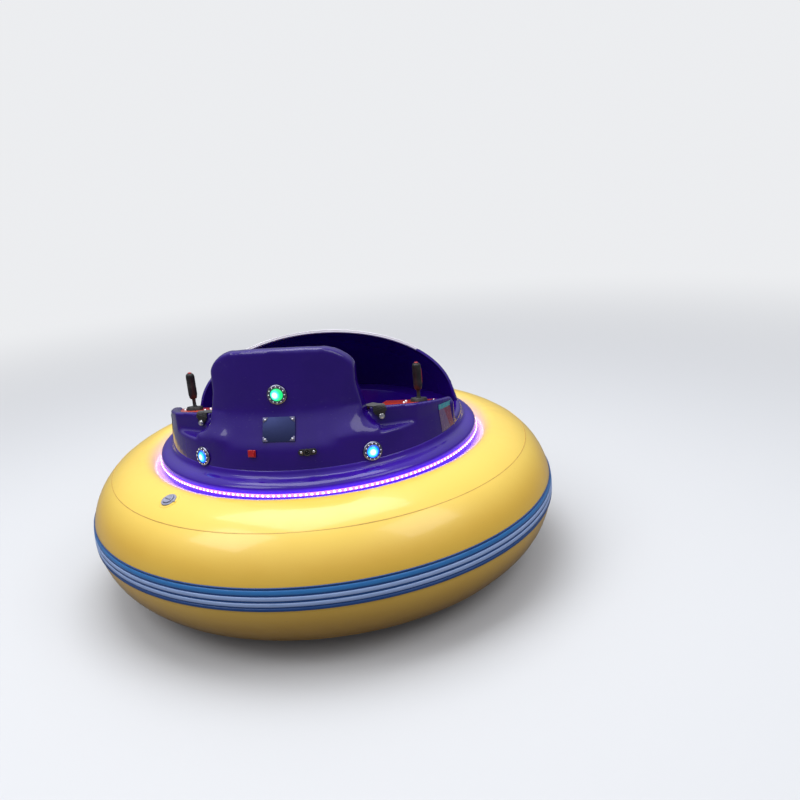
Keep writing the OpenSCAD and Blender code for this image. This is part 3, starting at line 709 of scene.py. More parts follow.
# its cell size and rounds of smoothing, the fillings between its pieces, and where its edges flow
body = {"voxel": .0052, "rounds": 14, "flow": 150, "edge": 26,
        "saddle": {"x": .2, "wide": .14, "y": -.425, "deep": .431, "r": .586, "z": .687, "high": .058, "endX": .33,
                   "over": .085},
        "saddleThick": .022, "closer": ((.062, .026, .112), (.548, -.1385, .636), .002),
        "backZ": .7, "backOver": .06, "softY": -.25,
        "foot": {"x": .36, "xUp": .13, "over": .15, "overUp": .1, "from": .61, "to": .9, "r": .5},
        "corner": {"from": (.17, .64), "to": (.34, .756), "r": .48},
        "end": (.255, -.52, .7), "endR": .105, "topZ": .8, "topY": -.2, "levelZ": .9, "levelUp": .008,
        "shoulder": .018}


def makeBody():
    b = body
    o = nodeCopy("body_wall", "seat_back", "console_left", "console_right")

    def saddle(i, j):   # the seat back's side runs out over the shelf between it and the console
        s = b["saddle"]
        x = s["x"] + s["wide"] * i
        y = s["y"] + (s["deep"] - math.sqrt(s["r"] ** 2 - x * x)) * j
        return Vector((x, y, s["z"] + s["high"] * fall(x, s["endX"], s["over"]) * (1 - j ** 1.6)))

    filler = modify(gridPiece(24, 16, saddle), "SOLIDIFY", thickness=b["saddleThick"], offset=-1.0)
    closer = box(*b["closer"], 1)   # closes the console in front, beside the deck's face
    for part in (filler, closer):
        o = joined(o, part, copied(part, mirrorX))
    modify(o, "REMESH", mode="VOXEL", voxel_size=b["voxel"])
    modify(o, "SMOOTH", factor=.5, iterations=b["rounds"])

    # the seat back's foot flows out to the consoles and the shelf without an edge
    rounds = {"soft": b["flow"], "ends": b["flow"], "top": b["edge"]}
    groups = [o.vertex_groups.new(name=name) for name in rounds]
    foot, corner = b["foot"], b["corner"]
    for v in o.data.vertices:
        x, y, z = v.co
        x = abs(x)
        r = math.hypot(x, y)
        up = rise(z, b["backZ"], b["backOver"])
        low = (fall(x, foot["x"] - foot["xUp"] * up, foot["over"] - foot["overUp"] * up) * rise(z, foot["from"], .05)
               * fall(z, foot["to"], .06) * rise(r, foot["r"], .02))
        side = (rise(x, corner["from"][0], .04) * fall(x, corner["to"][0], .045) * rise(z, corner["from"][1], .04)
                * fall(z, corner["to"][1], .02) * rise(r, corner["r"], .02))
        soft = max(low, side) if y < b["softY"] else 0.0
        end = fall(math.dist((x, y, z), b["end"]), b["endR"], .05)
        top = rise(z, b["topZ"], .06) if y < b["topY"] else 0.0
        for group, share, least in zip(groups, (soft, end, top), (.01, .01, 0.0)):
            if share > least:
                group.add([v.index], share, "REPLACE")
    for name in rounds:
        modify(o, "SMOOTH", factor=.5, iterations=rounds[name], vertex_group=name)
    o.vertex_groups.clear()
    for v in o.data.vertices:   # the seat back's top is nearly level, with falling shoulders
        x, y, z = v.co
        high = rise(z, b["levelZ"], .1)
        if high and y < b["topY"]:
            v.co.z += high * (b["levelUp"] * (1 - softStep(abs(x) / .16)) - b["shoulder"] * rise(abs(x), .08, .16))
    piece(o, "bodyMoulding", purple, ["body_wall", "seat_back", "console_left", "console_right"],
          angle=70)


makeBody()
print("body ready")


# cowl: a surface that bends from its rim, where v is 0, down to the ledge, where v is 1, in mm

cowl = {"wallR": 598.0, "halfW": 560.0, "footY": 118.0, "footZ": 632.0, "topY": 240.0, "topZ": 918.0, "baseZ": 576.3,
        "bendOut": .66, "bendDown": .36, "heart": (0, 60, 480), "thick": 10.0, "stripe": 12.0,
        "across": 120, "down": 44,
        "flare": [(0.0, 0.0), (.0016, -.0022), (.006, -.0042), (.013, -.008)],
        "panelHigh": 2.6, "trimHigh": 3.0, "ridgeHigh": 8,
        "podHalf": 11.0, "podTop": 706.0, "podSlope": 5.0, "nose": (0, 600, 630), "noseLean": 18.0}

# areas of the cowl, as rows of angle, upper height and lower height
areas = {"band": [[0, 820, 798], [10, 816, 794], [20, 812, 790], [28, 817, 797], [36, 827, 808], [42, 832, 816]],
         "ridge": [[0, 734, 712], [7, 752, 718], [14, 768, 744], [20, 782, 756], [28, 789, 767], [36, 800, 780],
                   [42, 808, 790], [48, 810, 792]],
         "middlePanel": [[0, 794, 739], [8, 791, 758], [17, 787, 780]],
         "upperPanel": [[13.5, 739, 686], [22, 753, 686], [33, 771, 686], [43, 786, 686], [50, 770, 686],
                        [58, 738, 686], [66, 694, 686]],
         "middleRib": [[13.5, 681, 651], [30, 681, 651], [46, 681, 651], [60, 681, 651], [74, 681, 651]],
         "lowerPanel": [[13.5, 646, 606], [30, 646, 606], [46, 646, 606], [60, 646, 606], [71, 646, 606]]}


def rimZ(t):
    return cowl["footZ"] + (cowl["topZ"] - cowl["footZ"]) * math.cos(math.radians(t))


def cowlSurface(t, v):
    c, a = cowl, math.radians(t)
    rim = Vector((c["halfW"] * math.sin(a), c["footY"] + (c["topY"] - c["footY"]) * math.cos(a), rimZ(t)))
    b = a / (math.pi / 2) * (math.pi / 2 - math.asin(c["footY"] / c["wallR"]))
    way = Vector((c["wallR"] * math.sin(b), c["wallR"] * math.cos(b), c["baseZ"])) - rim
    bow = 2 * v * (1 - v)
    out, down = bow * c["bendOut"] + v * v, bow * c["bendDown"] + v * v
    return rim + Vector((way.x * out, way.y * out, way.z * down))


def cowlNormal(t, v):
    q = cowlSurface(t, v) - Vector(cowl["heart"])
    return Vector((q.x, q.y, q.z * (1 - v))).normalized()


def cowlPoint(t, v, d):
    return (cowlSurface(t, v) + d * cowlNormal(t, v)) * mm


def shareAt(t, z):
    s = (rimZ(t) - z) / (rimZ(t) - cowl["baseZ"])
    k = 1 - 2 * cowl["bendDown"]
    return (math.sqrt(cowl["bendDown"] ** 2 + k * s) - cowl["bendDown"]) / k


def lookup(x, table, column):
    for a, b in zip(table, table[1:]):
        if x <= b[0]:
            break
    s = (x - a[0]) / (b[0] - a[0])
    return a[column] + (b[column] - a[column]) * s


def makeCowl():
    flare, turnAt, foot = cowl["flare"], .92, .985

    def where(i, j):
        t, s = -90 + 180 * i, 1 - j
        if s <= turnAt:
            return cowlPoint(t, s / turnAt * foot, 0)
        k = (s - turnAt) / .08 * 3   # the last rows flow out on to the ledge
        base = cowlPoint(t, foot, 0)
        away = Vector((base.x, base.y, 0)).normalized()
        n = min(int(k), 2)
        out, sink = (flare[n][c] + (flare[n + 1][c] - flare[n][c]) * (k - n) for c in (0, 1))
        return base + away * out + Vector((0, 0, sink))

    o = weld(gridPiece(cowl["across"], cowl["down"], where), .000001)
    middle = o.data.polygons[len(o.data.polygons) // 2 + cowl["across"] // 2]
    if middle.normal.dot(Vector((0, 1, .3))) < 0:
        o.data.flip_normals()
    modify(o, "SOLIDIFY", thickness=cowl["thick"] * mm, offset=-1.0, use_even_offset=True, use_rim=True)
    piece(bevel(o, .0035, 3, 50), "cowlShell", purple, ["cowl"], angle=45)


def raised(table, high, rows=12, step=1.0, edge=.008):
    # an area of the cowl, raised with soft edges
    t0, t1 = table[0][0], table[-1][0]
    wide = (cowlSurface(t1, .6) - cowlSurface(t0, .6)).length

    def where(i, j):
        i, j = dense(i), dense(j)
        t = t0 + (t1 - t0) * i
        top, low = lookup(t, table, 1), lookup(t, table, 2)
        tall = (top - low) * 1.25   # about its length down the slope
        near = min((1 - i) * wide, i * wide, (1 - j) * tall, j * tall) * mm
        lift = high * math.sqrt(max(0.0, 1 - (1 - min(near / edge, 1)) ** 2))
        return cowlPoint(t, shareAt(t, low + (top - low) * j), lift - (1.2 if near < 1e-6 else 0))

    def dense(x):   # columns and rows are closer together at the edges
        return .5 - .5 * math.copysign(abs(math.cos(math.pi * x)) ** .75, math.cos(math.pi * x))

    o = gridPiece(max(6, int(abs(t1 - t0) / step)), rows, where)
    edit(o)
    bpy.ops.mesh.normals_make_consistent(inside=False)
    done()
    f = o.data.polygons[len(o.data.polygons) // 2]
    if f.normal.dot(f.center - Vector(cowl["heart"]) * mm) < 0:
        o.data.flip_normals()
    return modify(o, "SOLIDIFY", thickness=.0016, offset=-1.0)


def toLeft(table):
    return [[-t, a, b] for t, a, b in reversed(table)]


def bothWays(table):
    return toLeft(table[1:]) + table


def makeCowlTrim():
    c, high, tall = cowl, cowl["panelHigh"], cowl["ridgeHigh"]
    screen = [[t, rimZ(t) - c["stripe"] - 2, lookup(t, areas["band"], 1) + 2] for t in (0, 8, 16, 20, 26, 32, 38)]
    stripe = [[t, rimZ(t) + 1.5, rimZ(t) - c["stripe"]] for t in range(0, 49, 6)]
    piece(raised(bothWays(screen), high, 24, .8, .004), "windscreenPanel", screenSkin(),
          ["windscreen"], angle=50)
    piece(joined(*[raised(bothWays(table), c["trimHigh"], 8, 1.0, .004) for table in (stripe, areas["band"])]),
          "screenBorder", white, ["screen_border"], angle=50)
    section = [(9.0, .7), (3.5, .9), (-.4, .5), (-1.0, -1.0), (-1.0, -5.0), (-1.0, -9.0), (-.4, -10.5), (3.0, -10.9),
               (8.0, -10.7)]

    def rimCap(i, j):   # the stripe folds over the shell's edge
        t = -47 + 94 * i
        rim, down = cowlSurface(t, 0), (cowlSurface(t, .02) - cowlSurface(t, 0)).normalized()
        k = min(int(j * 8), 7)
        a, b = section[k], section[k + 1]
        along, out = (a[n] + (b[n] - a[n]) * (j * 8 - k) for n in (0, 1))
        return (rim + down * along + cowlNormal(t, 0) * out) * mm

    cap = weld(gridPiece(96, 8, rimCap), .000001, outward=False)
    if sum(f.normal.z for f in cap.data.polygons) < 0:
        cap.data.flip_normals()
    piece(modify(cap, "SOLIDIFY", thickness=.0006, offset=-1.0), "rimStripe", white, angle=50)
    panels = [raised(bothWays(areas["middlePanel"]), high, 10, 1.0, .005)]
    for table in (areas["upperPanel"], areas["lowerPanel"]):
        panels += [raised(half, high, 12, 1.2, .005) for half in (table, toLeft(table))]
    piece(joined(*panels), "cowlPanels", lilac, ["cowl_panels"], angle=50)
    ribs = [raised(bothWays(areas["ridge"]), tall, 12, .8, .009)]
    ribs += [raised(table, tall, 12, 1.0, .009) for table in (areas["middleRib"], toLeft(areas["middleRib"]))]

    lean = math.radians(c["noseLean"])
    face = Vector((0, math.cos(lean), math.sin(lean)))

    def pod(i, j):   # the nose pod: a block with a flat face, which slopes back to the cowl
        t = c["podHalf"] * (2 * i - 1)
        top = c["podTop"] - c["podSlope"] * abs(t)
        v0 = shareAt(t, top)
        v = v0 + (1.0 - v0) * (1 - j)
        p, n = cowlSurface(t, v), cowlNormal(t, v)
        lift = min((Vector(c["nose"]) - p).dot(face) / n.dot(face), 8 + (top - p.z) * .9,
                   8 + (c["podHalf"] - abs(t)) * 14)
        return (p + n * lift) * mm

    o = gridPiece(64, 64, pod)
    if o.data.polygons[2000].normal.y < 0:
        o.data.flip_normals()
    modify(o, "SMOOTH", factor=.5, iterations=4)
    edit(o, "EDGE", False)   # its outline is drawn in to the cowl
    bpy.ops.mesh.select_non_manifold()
    bpy.ops.mesh.extrude_region_move(TRANSFORM_OT_translate={"value": (0, 0, 0)})
    bpy.ops.transform.resize(value=(.985, 1, .99), center_override=(0, .58, .62))
    bpy.ops.transform.translate(value=(0, -.014, 0))
    done()
    piece(joined(*ribs, o), "cowlRidges", purple, ["cowl_ribs"], angle=50)


def screenSkin():
    look = Look("screenGloss", Specular_IOR_Level=.25, Coat_Weight=.25, Coat_Roughness=.02)
    at = look.place()
    cloud = look.speckle(at, 8.0, 4).between(.4, .75)
    return look.set(Base_Color=look.blend(cloud, tone("#0c0d11"), tone("#15161b")),
                    Roughness=.1 + look.speckle(at, 40.0, 5, .7).between(.5, .8) * .14,
                    Normal=look.bump(look.speckle(at, 6.0, 2), .002, .1))


makeCowl()
makeCowlTrim()
print("cowl ready")


# decks and bench

def softened(names, width, look, name, body="chassis", segments=2):
    # CAD pieces with their edges rounded
    o = nodeCopy(*names)
    edit(o, "FACE")
    bpy.ops.mesh.dissolve_limited(angle_limit=math.radians(.6))
    done()
    bevel(o, width, segments, 32)
    piece(o, name, look, names, body=body, angle=35)


softened(["deck_left"], .005, deckRed, "deckLeft", segments=3)
softened(["deck_right"], .005, deckRed, "deckRight", segments=3)
softened(["seat_bench"], .007, purple, "seatBench", segments=3)
print("decks and bench ready")


# places on the body's walls: local Z points out of the wall and local Y up along it
# each wall has its slope, and the radius and height that it starts from

wall = {"lean": math.atan2(12, 114), "r": .598, "z": .576, "face": math.atan2(8, 225), "faceR": .528, "faceZ": .795,
        "foot": math.atan2(50, 105), "footR": .578, "footZ": .69, "gap": .0003}


def frameAt(place, turn, tilt=0.0):
    return Matrix.Translation(place) @ turnBy(math.radians(turn), "Z") @ turnBy(math.pi / 2 - tilt, "X")


def onRound(angle, r, z0, z, tilt):
    a, r = math.radians(angle), r - (z - z0) * math.tan(tilt) + wall["gap"]
    return frameAt((r * math.sin(a), -r * math.cos(a), z), angle, tilt)


def onWall(angle, z):
    return onRound(angle, wall["r"], wall["z"], z, wall["lean"])


def onBack(z):
    part = "face" if z > wall["faceZ"] else "foot"
    return onRound(0, wall[part + "R"], wall[part + "Z"], z, wall[part])


# small fastenings, modelled once

def outlined(points, thick, rounding=.0005, segments=2):
    # a flat outline of (x, y) points, filled and made thick along Z
    deselect()
    bpy.ops.mesh.primitive_circle_add(vertices=len(points), radius=1, fill_type="NGON")
    o = bpy.context.object
    for v, (x, y) in zip(o.data.vertices, points):
        v.co = (x, y, 0)
    o.data.update()
    if o.data.polygons[0].normal.z < 0:
        o.data.flip_normals()
    modify(o, "SOLIDIFY", thickness=thick, offset=1.0)
    return bevel(o, rounding, segments, 40) if rounding else o


def crossScrew(r=.005, high=.0026):
    o = turned([(0, high), (r * .45, high * .94), (r * .78, high * .68), (r * .96, high * .3), (r, -.0008),
                (0, -.0008)], 20, closed=False)
    for w, h in ((1.2, .28), (.28, 1.2)):
        cutter = box((r * w, r * h, high), (0, 0, high * 1.05))
        modify(o, "BOOLEAN", operation="DIFFERENCE", object=cutter, solver="EXACT")
        drop(cutter)
    return o


def hexBolt(r=.01, high=.006, washer=.0145):
    deselect()
    bpy.ops.mesh.primitive_cylinder_add(vertices=6, radius=r, depth=high, location=(0, 0, .0016 + high / 2))
    head = bevel(settle(bpy.context.object), .0007, 2, 30)
    ring = turned([(r * .5, 0), (washer, 0), (washer, .001), (washer - .0006, .0016), (r * .5, .0016)], 28)
    return joined(head, ring)


fourWays = [(-1, -1), (-1, 1), (1, -1), (1, 1)]


def studded(count, r, make, z=0.0, start=0.0):
    # copies of one small part set round a circle
    first = make()
    made = [copied(first, turnBy(start + tau * k / count, "Z") @ moveTo(r, 0, z)) for k in range(count)]
    drop(first)
    return joined(*made)


# round lamps: a stepped chrome bezel with studs and a domed lens over its lights

lamps = {"rearD": .073, "frontD": .07, "noseD": .094, "studs": 12, "rearAngle": 32, "rearZ": .63, "backZ": .86,
         "frontX": .43, "frontY": -.118, "frontZ": .65, "lensTop": .0133}


def bezel(d):
    r = d / 2
    ring = turned([(r, 0), (r, .0026), (r - .0006, .0044), (r - .002, .006), (r - .0044, .0071), (r - .0085, .0078),
                   (r - .0118, .0079), (r - .0134, .0072), (r - .0141, .0056), (r - .0143, .004), (r - .0143, 0)], 72)
    stud = [(0, .0036), (.0014, .0033), (.0025, .0023), (.003, .0009), (.0031, -.0008), (0, -.0008)]
    return ring, studded(lamps["studs"], r - .0078, lambda: turned(stud, 12, closed=False), .0072)


def lens(d):
    r, ball = d / 2 - .0145, d / 2
    dome = [(r * k / 9, max(lamps["lensTop"] - (ball - math.sqrt(ball * ball - (r * k / 9) ** 2)),
                            .004)) for k in range(10)]
    o = turned(dome + [(r, .0008), (0, .0008)], 48, closed=False)
    unwrap(o, lambda v: (v.co.x / r, v.co.y / r))
    return o


def litLens(name, core, middle, rim, power, shift=(-.12, -.05)):
    look = Look(name, Roughness=.08, Coat_Weight=.7, Coat_Roughness=.03)
    at = look.node("ShaderNodeUVMap")
    u, v = look.axis(at, "X") - shift[0], look.axis(at, "Y") - shift[1]
    away = (u * u + v * v) ** .5
    dots = look.cells(at, 6.5).between(.05, .34, 1.0, 0.0)
    spread = away - dots * .16
    shine = look.blend(spread.between(.24, .62), core, middle)
    shine = look.blend(spread.between(.58, .98), shine, rim)
    look.set(Base_Color=look.blend(away.between(.2, .9), middle, rim), Emission_Color=shine, Emission_Strength=power,
             Normal=look.bump(look.cells(at, 7.5), .0014, .55))
    return look


blueLens = litLens("blueLens", (.72, 1.0, 1.0), (.02, .5, 1.0), (0.0, .08, .85), 2.2)
greenLens = litLens("greenLens", (.8, 1.0, .95), (.03, .72, .42), (0.0, .42, .1), 2.0, (-.26, -.02))
whiteLens = litLens("whiteLens", (1.0, 1.0, 1.0), (.55, .72, 1.0), (.2, .32, .85), 1.2, (0, 0))


def makeLamps():
    p = lamps
    groups = {"rear": (p["rearD"], [onWall(side * p["rearAngle"], p["rearZ"]) for side in (-1, 1)]),
              "back": (p["rearD"], [onBack(p["backZ"])]),
              "front": (p["frontD"], [frameAt((side * p["frontX"], p["frontY"] + .0003, p["frontZ"]),
                                              180) for side in (-1, 1)]),
              "nose": (p["noseD"], [frameAt((0, .6003, .63), 180, math.radians(cowl["noseLean"]))])}
    rings, studs, lenses = [], [], {}
    for name, (d, places) in groups.items():
        for m in places:
            ring, knobs = bezel(d)
            rings.append(placed(ring, m))
            studs.append(placed(knobs, m))
            lenses.setdefault(name, []).append(placed(lens(d), m))
    piece(joined(*rings), "lampBezels", lampChrome, ["lamp_bezels"], angle=40)
    piece(joined(*studs), "lampStuds", chrome, angle=60)
    piece(joined(*lenses["rear"]), "rearLampLenses", blueLens, ["rear_lamp_lenses"], angle=60)
    piece(joined(*lenses["back"]), "backLampLens", greenLens, ["back_lamp_lens"], angle=60)
    piece(joined(*lenses["front"], *lenses["nose"]), "frontLampLenses", whiteLens,
          ["front_lamp_lenses"], angle=60)


makeLamps()
print("lamps ready")


# plate, switch, charging socket and air valve

fittings = {"plate": (.118, .088, .0026), "plateZ": .741, "screwInset": .0095, "angle": 9.8, "z": .664,
            "switch": (.03, .026), "socket": (.058, .026), "bore": .008, "valveAngle": -31, "valveR": .773}


def makePlate():
    w, h, t = fittings["plate"]
    m, inset = onBack(fittings["plateZ"]), fittings["screwInset"]
    sheet = box((w, h, t), (0, 0, t / 2), .0009, 2)
    piece(placed(sheet, m), "rearPlate", plateMetal, ["rear_plate"])
    corners, screws = [], []
    for sx, sy in fourWays:
        tab = outlined([(0, .018), (-.003, .018), (-.018, .003), (-.018, 0), (0, 0)], .0012, .0003)
        corner = moveTo(sx * (w / 2 - .0012), sy * (h / 2 - .0012), t) @ scaleBy(sx, -sy, 1)
        corners.append(placed(tab, m @ corner))
        screws.append(placed(crossScrew(.0042, .0024), m @ moveTo(sx * (w / 2 - inset), sy * (h / 2 - inset),
                                                                  t + .0012)))
    piece(joined(*corners), "plateCorners", cornerMetal)
    piece(joined(*screws), "plateScrews", chrome)


def makeSwitch():
    w, h = fittings["switch"]
    m = onWall(-fittings["angle"], fittings["z"])
    rim = box((w, h, .005), (0, 0, .0025), .0016, 3)
    pick(rim, lambda n: n.z > .99)   # a well for the rocker
    bpy.ops.mesh.inset(thickness=.0022)
    bpy.ops.mesh.extrude_region_move(TRANSFORM_OT_translate={"value": (0, 0, -.0028)})
    done()
    rocker = box((w - .0072, h - .0086, .0072), (0, 0, .0052), .0012, 3)
    for v in rocker.data.vertices:   # its upper half is pressed in
        if v.co.z > .004:
            v.co.z += .0022 * (abs(v.co.y - .0012) / .0075) ** 1.4 - (.0016 if v.co.y > 0 else 0)
    piece(placed(rim, m), "switchFrame", redPlastic, ["power_switch"])
    piece(placed(rocker, m), "switchRocker", redPlastic)


def makeSocket():
    w, h = fittings["socket"]
    m, r, b = onWall(fittings["angle"], fittings["z"]), h / 2, fittings["bore"]
    ends = arc(w / 2 - r * .7, 0, r * .98, -62, 62, 8) + arc(-w / 2 + r * .7, 0, r * .98, 118, 242, 8)
    plate = outlined(ends, .004, .0009, 3)
    ring = turned([(.0125, .002), (.0125, .0122), (.0119, .0135), (.0106, .014), (b + .0012, .014), (b, .0132),
                   (b, .0022), (0, .002)],
                  40, closed=False)
    pin = [(0, .0088), (.0008, .0086), (.0012, .0078), (.0012, .0015), (0, .0015)]
    pins = studded(3, .0042, lambda: turned(pin, 12, closed=False))
    piece(placed(joined(plate, ring), m), "chargeSocket", black, ["charge_socket"])
    piece(placed(pins, m), "socketPins", alloy)
    screws = [placed(crossScrew(.0048, .0028), m @ moveTo(side * .0215, 0, .004)) for side in (-1, 1)]
    piece(joined(*screws), "socketScrews", chrome)


def makeValve():
    a, r = math.radians(fittings["valveAngle"]), fittings["valveR"]
    tilt = math.asin((r - tube["midR"]) / tube["halfW"])
    z = tube["midZ"] + tube["halfH"] * math.cos(tilt)
    m = moveTo(r * math.sin(a), -r * math.cos(a), z) @ turnBy(a, "Z") @ turnBy(tilt, "X")
    patch = turned([(0, .0008), (.036, .0008), (.0385, .0004), (.0395, -.0022), (0, -.0022)], 56, closed=False)
    for v in patch.data.vertices:   # the welded patch follows the tube's round
        v.co.z -= v.co.y ** 2 / (2 * tube["halfH"])
    rim = turned([(.0285, 0.0), (.0285, .0022), (.0278, .0034), (.0262, .0042), (.023, .0044), (.0212, .0038),
                  (.0206, .0026),
                  (.0206, 0)], 56)
    cap = turned([(.0198, .0015), (.02, .007), (.0194, .0084), (.018, .009), (.015, .0088), (.0136, .0078),
                  (.012, .0074),
                  (0, .0074)], 48, closed=False)
    grip = box((.03, .0052, .0046), (0, 0, .0086), .0018, 3)
    notches = studded(24, .0199, lambda: box((.0012, .0012, .0052), (0, 0, .0048), .0003, 1))
    tether = box((.0165, .0062, .0018), (.0278, 0, .0044), .0006, 2)
    piece(placed(patch, m), "valvePatch", tubeYellow, angle=50)
    piece(placed(joined(rim, tether), m), "valveRim", greyPlastic, ["air_valve"])
    piece(placed(joined(cap, grip, notches), m), "valveCap", greyPlastic)


makePlate()
makeSwitch()
makeSocket()
makeValve()
print("fittings ready")


# seat belts: flat webbing from the anchors over the consoles and along the bench to the buckle

belts = {"wide": .046, "thick": .0016, "angle": 41, "r": .5337, "turn": 129, "wallTurn": 18.57, "shift": .01,
         "boltZ": .729, "slant": 13,
         "hang": [(.004, .743, -.0018), (.0026, .748, -.003), (.0024, .759, -.0055), (.0016, .7645, -.0065),
                  (-.001, .7682, -.0068)],
         "run": [(.008, .7686), (.05, .7604), (.088, .7546), (.103, .747), (.116, .725), (.128, .685), (.14, .62),
                 (.149, .56), (.156, .52), (.166, .5045), (.185, .502), (.24, .5018), (.3, .5018)],
         "buckle": (0, -.067, .5008), "stitches": 9}


def ribbon(stations, wide, thick, perStep=5, across=8):
    # a strap through stations of (place, direction across), smoothly curved, with its length and width as UV
    spots = [Vector(place) for place, way in stations]
    sides = [Vector(way).normalized() for place, way in stations]
    line, widths = [], []
    for k in range(len(spots) - 1):
        a, b = spots[max(k - 1, 0)], spots[k]
        c, d = spots[k + 1], spots[min(k + 2, len(spots) - 1)]
        for q in range(perStep):
            x = q / perStep
            bend = (2 * a - 5 * b + 4 * c - d) * x * x + (3 * b - a - 3 * c + d) * x ** 3
            line.append(.5 * (2 * b + (c - a) * x + bend))
            widths.append(sides[k].lerp(sides[k + 1], x).normalized())
    line.append(spots[-1])
    widths.append(sides[-1])
    count = len(line) - 1
    lengths = [0.0]
    for p, q in zip(line, line[1:]):
        lengths.append(lengths[-1] + (q - p).length)
    o = gridPiece(count, across, lambda i, j: line[round(i * count)] + widths[round(i * count)] * wide * (j - .5))

    def along(v):
        gaps = [(p + side * (v.co - p).dot(side) - v.co).length_squared for p, side in zip(line, widths)]
        near = gaps.index(min(gaps))
        return lengths[near], (v.co - line[near]).dot(widths[near])

    spread = [along(v) for v in o.data.vertices]
    unwrap(o, lambda v: spread[v.index])
    return modify(o, "SOLIDIFY", thickness=thick, offset=0.0)


def makeBelts():
    b = belts
    a, w, t, slant = (math.radians(b[name]) for name in ("angle", "wallTurn", "turn", "slant"))
    up = Vector((0, 0, 1))
    out, along = Vector((math.sin(w), -math.cos(w), 0)), Vector((math.cos(w), math.sin(w), 0))
    inward, acrossRun = Vector((math.cos(t), math.sin(t), 0)), Vector((math.sin(t), -math.cos(t), 0))
    anchor = Vector((b["r"] * math.sin(a), -b["r"] * math.cos(a), 0)) - b["shift"] * along
    hang = along * math.cos(slant) + Vector((0, 0, math.sin(slant)))
    ways = (hang, hang, along * .98 + up * .12, along * .96 + acrossRun * .1, along * .5 + acrossRun * .5)
    stations = [(anchor + out * far + up * z + along * side, way) for (far, z, side), way in zip(b["hang"], ways)]
    start = anchor - along * .0062
    stations += [(start + inward * u + up * z, acrossRun) for u, z in b["run"]]
    stations += [((.112, -.108, .5018), acrossRun * .75 + Vector((0, .25, 0))), ((.078, -.08, .5026), (.3, .8, 0)),
                 ((.052, -.069, .506), (.05, 1, 0)), ((.0375, -.067, .5085), (0, 1, 0))]
    piece(bothSides(ribbon(stations, b["wide"], b["thick"])), "beltWebbing", strap, ["seat_belts"],
          angle=60)

    # the end fittings with their bolts
    place = frameAt(anchor + out * .0004 + up * b["boltZ"], b["wallTurn"])
    lean = turnBy(slant, "Z")
    outline = arc(0, 0, .0122, 200, 340, 10) + [(.017, .012), (.0235, .0235), (.024, .029), (-.024, .029),
                                                (-.0235, .0235), (-.017, .012)]
    tab = placed(outlined(outline, .0052, .0012, 3), place @ lean)
    bolt = placed(hexBolt(.0078, .0056, .0102), place @ moveTo(0, 0, .0052))
    stitches = []
    for k in range(b["stitches"]):   # two rows where the webbing is folded back
        for row in (.0008, .0042):
            stitch = box((.0034, .0007, .0007), (-.018 + k * .0045, .0335 + row, .0052), .0002, 1)
            stitches.append(placed(stitch, place @ lean))
    piece(bothSides(tab), "beltEndFittings", black)
    piece(bothSides(bolt), "beltBolts", chrome, ["belt_bolts"], angle=30)
    piece(bothSides(joined(*stitches)), "beltStitches", greyThread)

    # buckle: a rounded body with a press button, and the tongue that it holds
    base = moveTo(*b["buckle"])
    case = box((.052, .047, .0165), (-.008, 0, .0083), .0045, 4)
    button = box((.014, .033, .003), (.0125, 0, .0172), .0012, 3)
    half = [(.012, -.012), (.03, -.012), (.034, -.0235), (.038, -.0245)]
    tongue = outlined(half + [(x, -y) for x, y in reversed(half)], .0026, .0005)
    loop = box((.012, .05, .005), (-.033, 0, .0075), .002, 3)
    piece(placed(joined(case, loop), base), "beltBuckle", black, ["belt_buckle"])
    piece(placed(button, base), "buckleButton", redPlastic)
    piece(placed(tongue, base @ moveTo(0, 0, .0062)), "buckleTongue", chrome)


greyThread = moulded("stitchThread", tone("#4a4a52"), .0002, .6)
makeBelts()
print("belts ready")


# joysticks: a turned cup on the deck, a ball-ended stick, a grip with finger waves and two red buttons

stick = {"x": .452, "y": -.192, "z": .724788, "high": .14, "gripR": .0172, "baseR": .033, "screws": (.054, .03),
         "deckSlope": -12,
         "topSlope": -7}


def gripShape():
    h = stick["high"]
    profile = [(0, .034), (.0085, .034), (.012, .036), (.015, .041), (.0158, .048)]
    profile += [(stick["gripR"], .052 + (h - .066) * k / 26) for k in range(27)]
    profile += [(.0166, h - .009), (.0158, h - .0052), (.0142, h - .0022), (.012, h - .0006), (.0095, h), (0, h)]
    o = turned(profile, 40, closed=False)
    for v in o.data.vertices:
        x, y, z = v.co
        r = math.hypot(x, y)
        if r < .006 or z < .05:
            continue
        front = max(0.0, y / r) ** 1.5
        wave = .5 - .5 * math.cos((z - .056) / .0195 * tau)
        inside = softStep((z - .054) / .006) * softStep((h - .018 - z) / .006)
        flat = .02 * abs(x / r) ** 2
        share = 1 - inside * front * wave * .055 - flat
        v.co.x, v.co.y = x * share, y * (share + .02)
        if z > h - .02:   # the top slopes down to the front
            v.co.z -= .0042 * (.5 + y / .034) * softStep((z - h + .02) / .016)
    return o


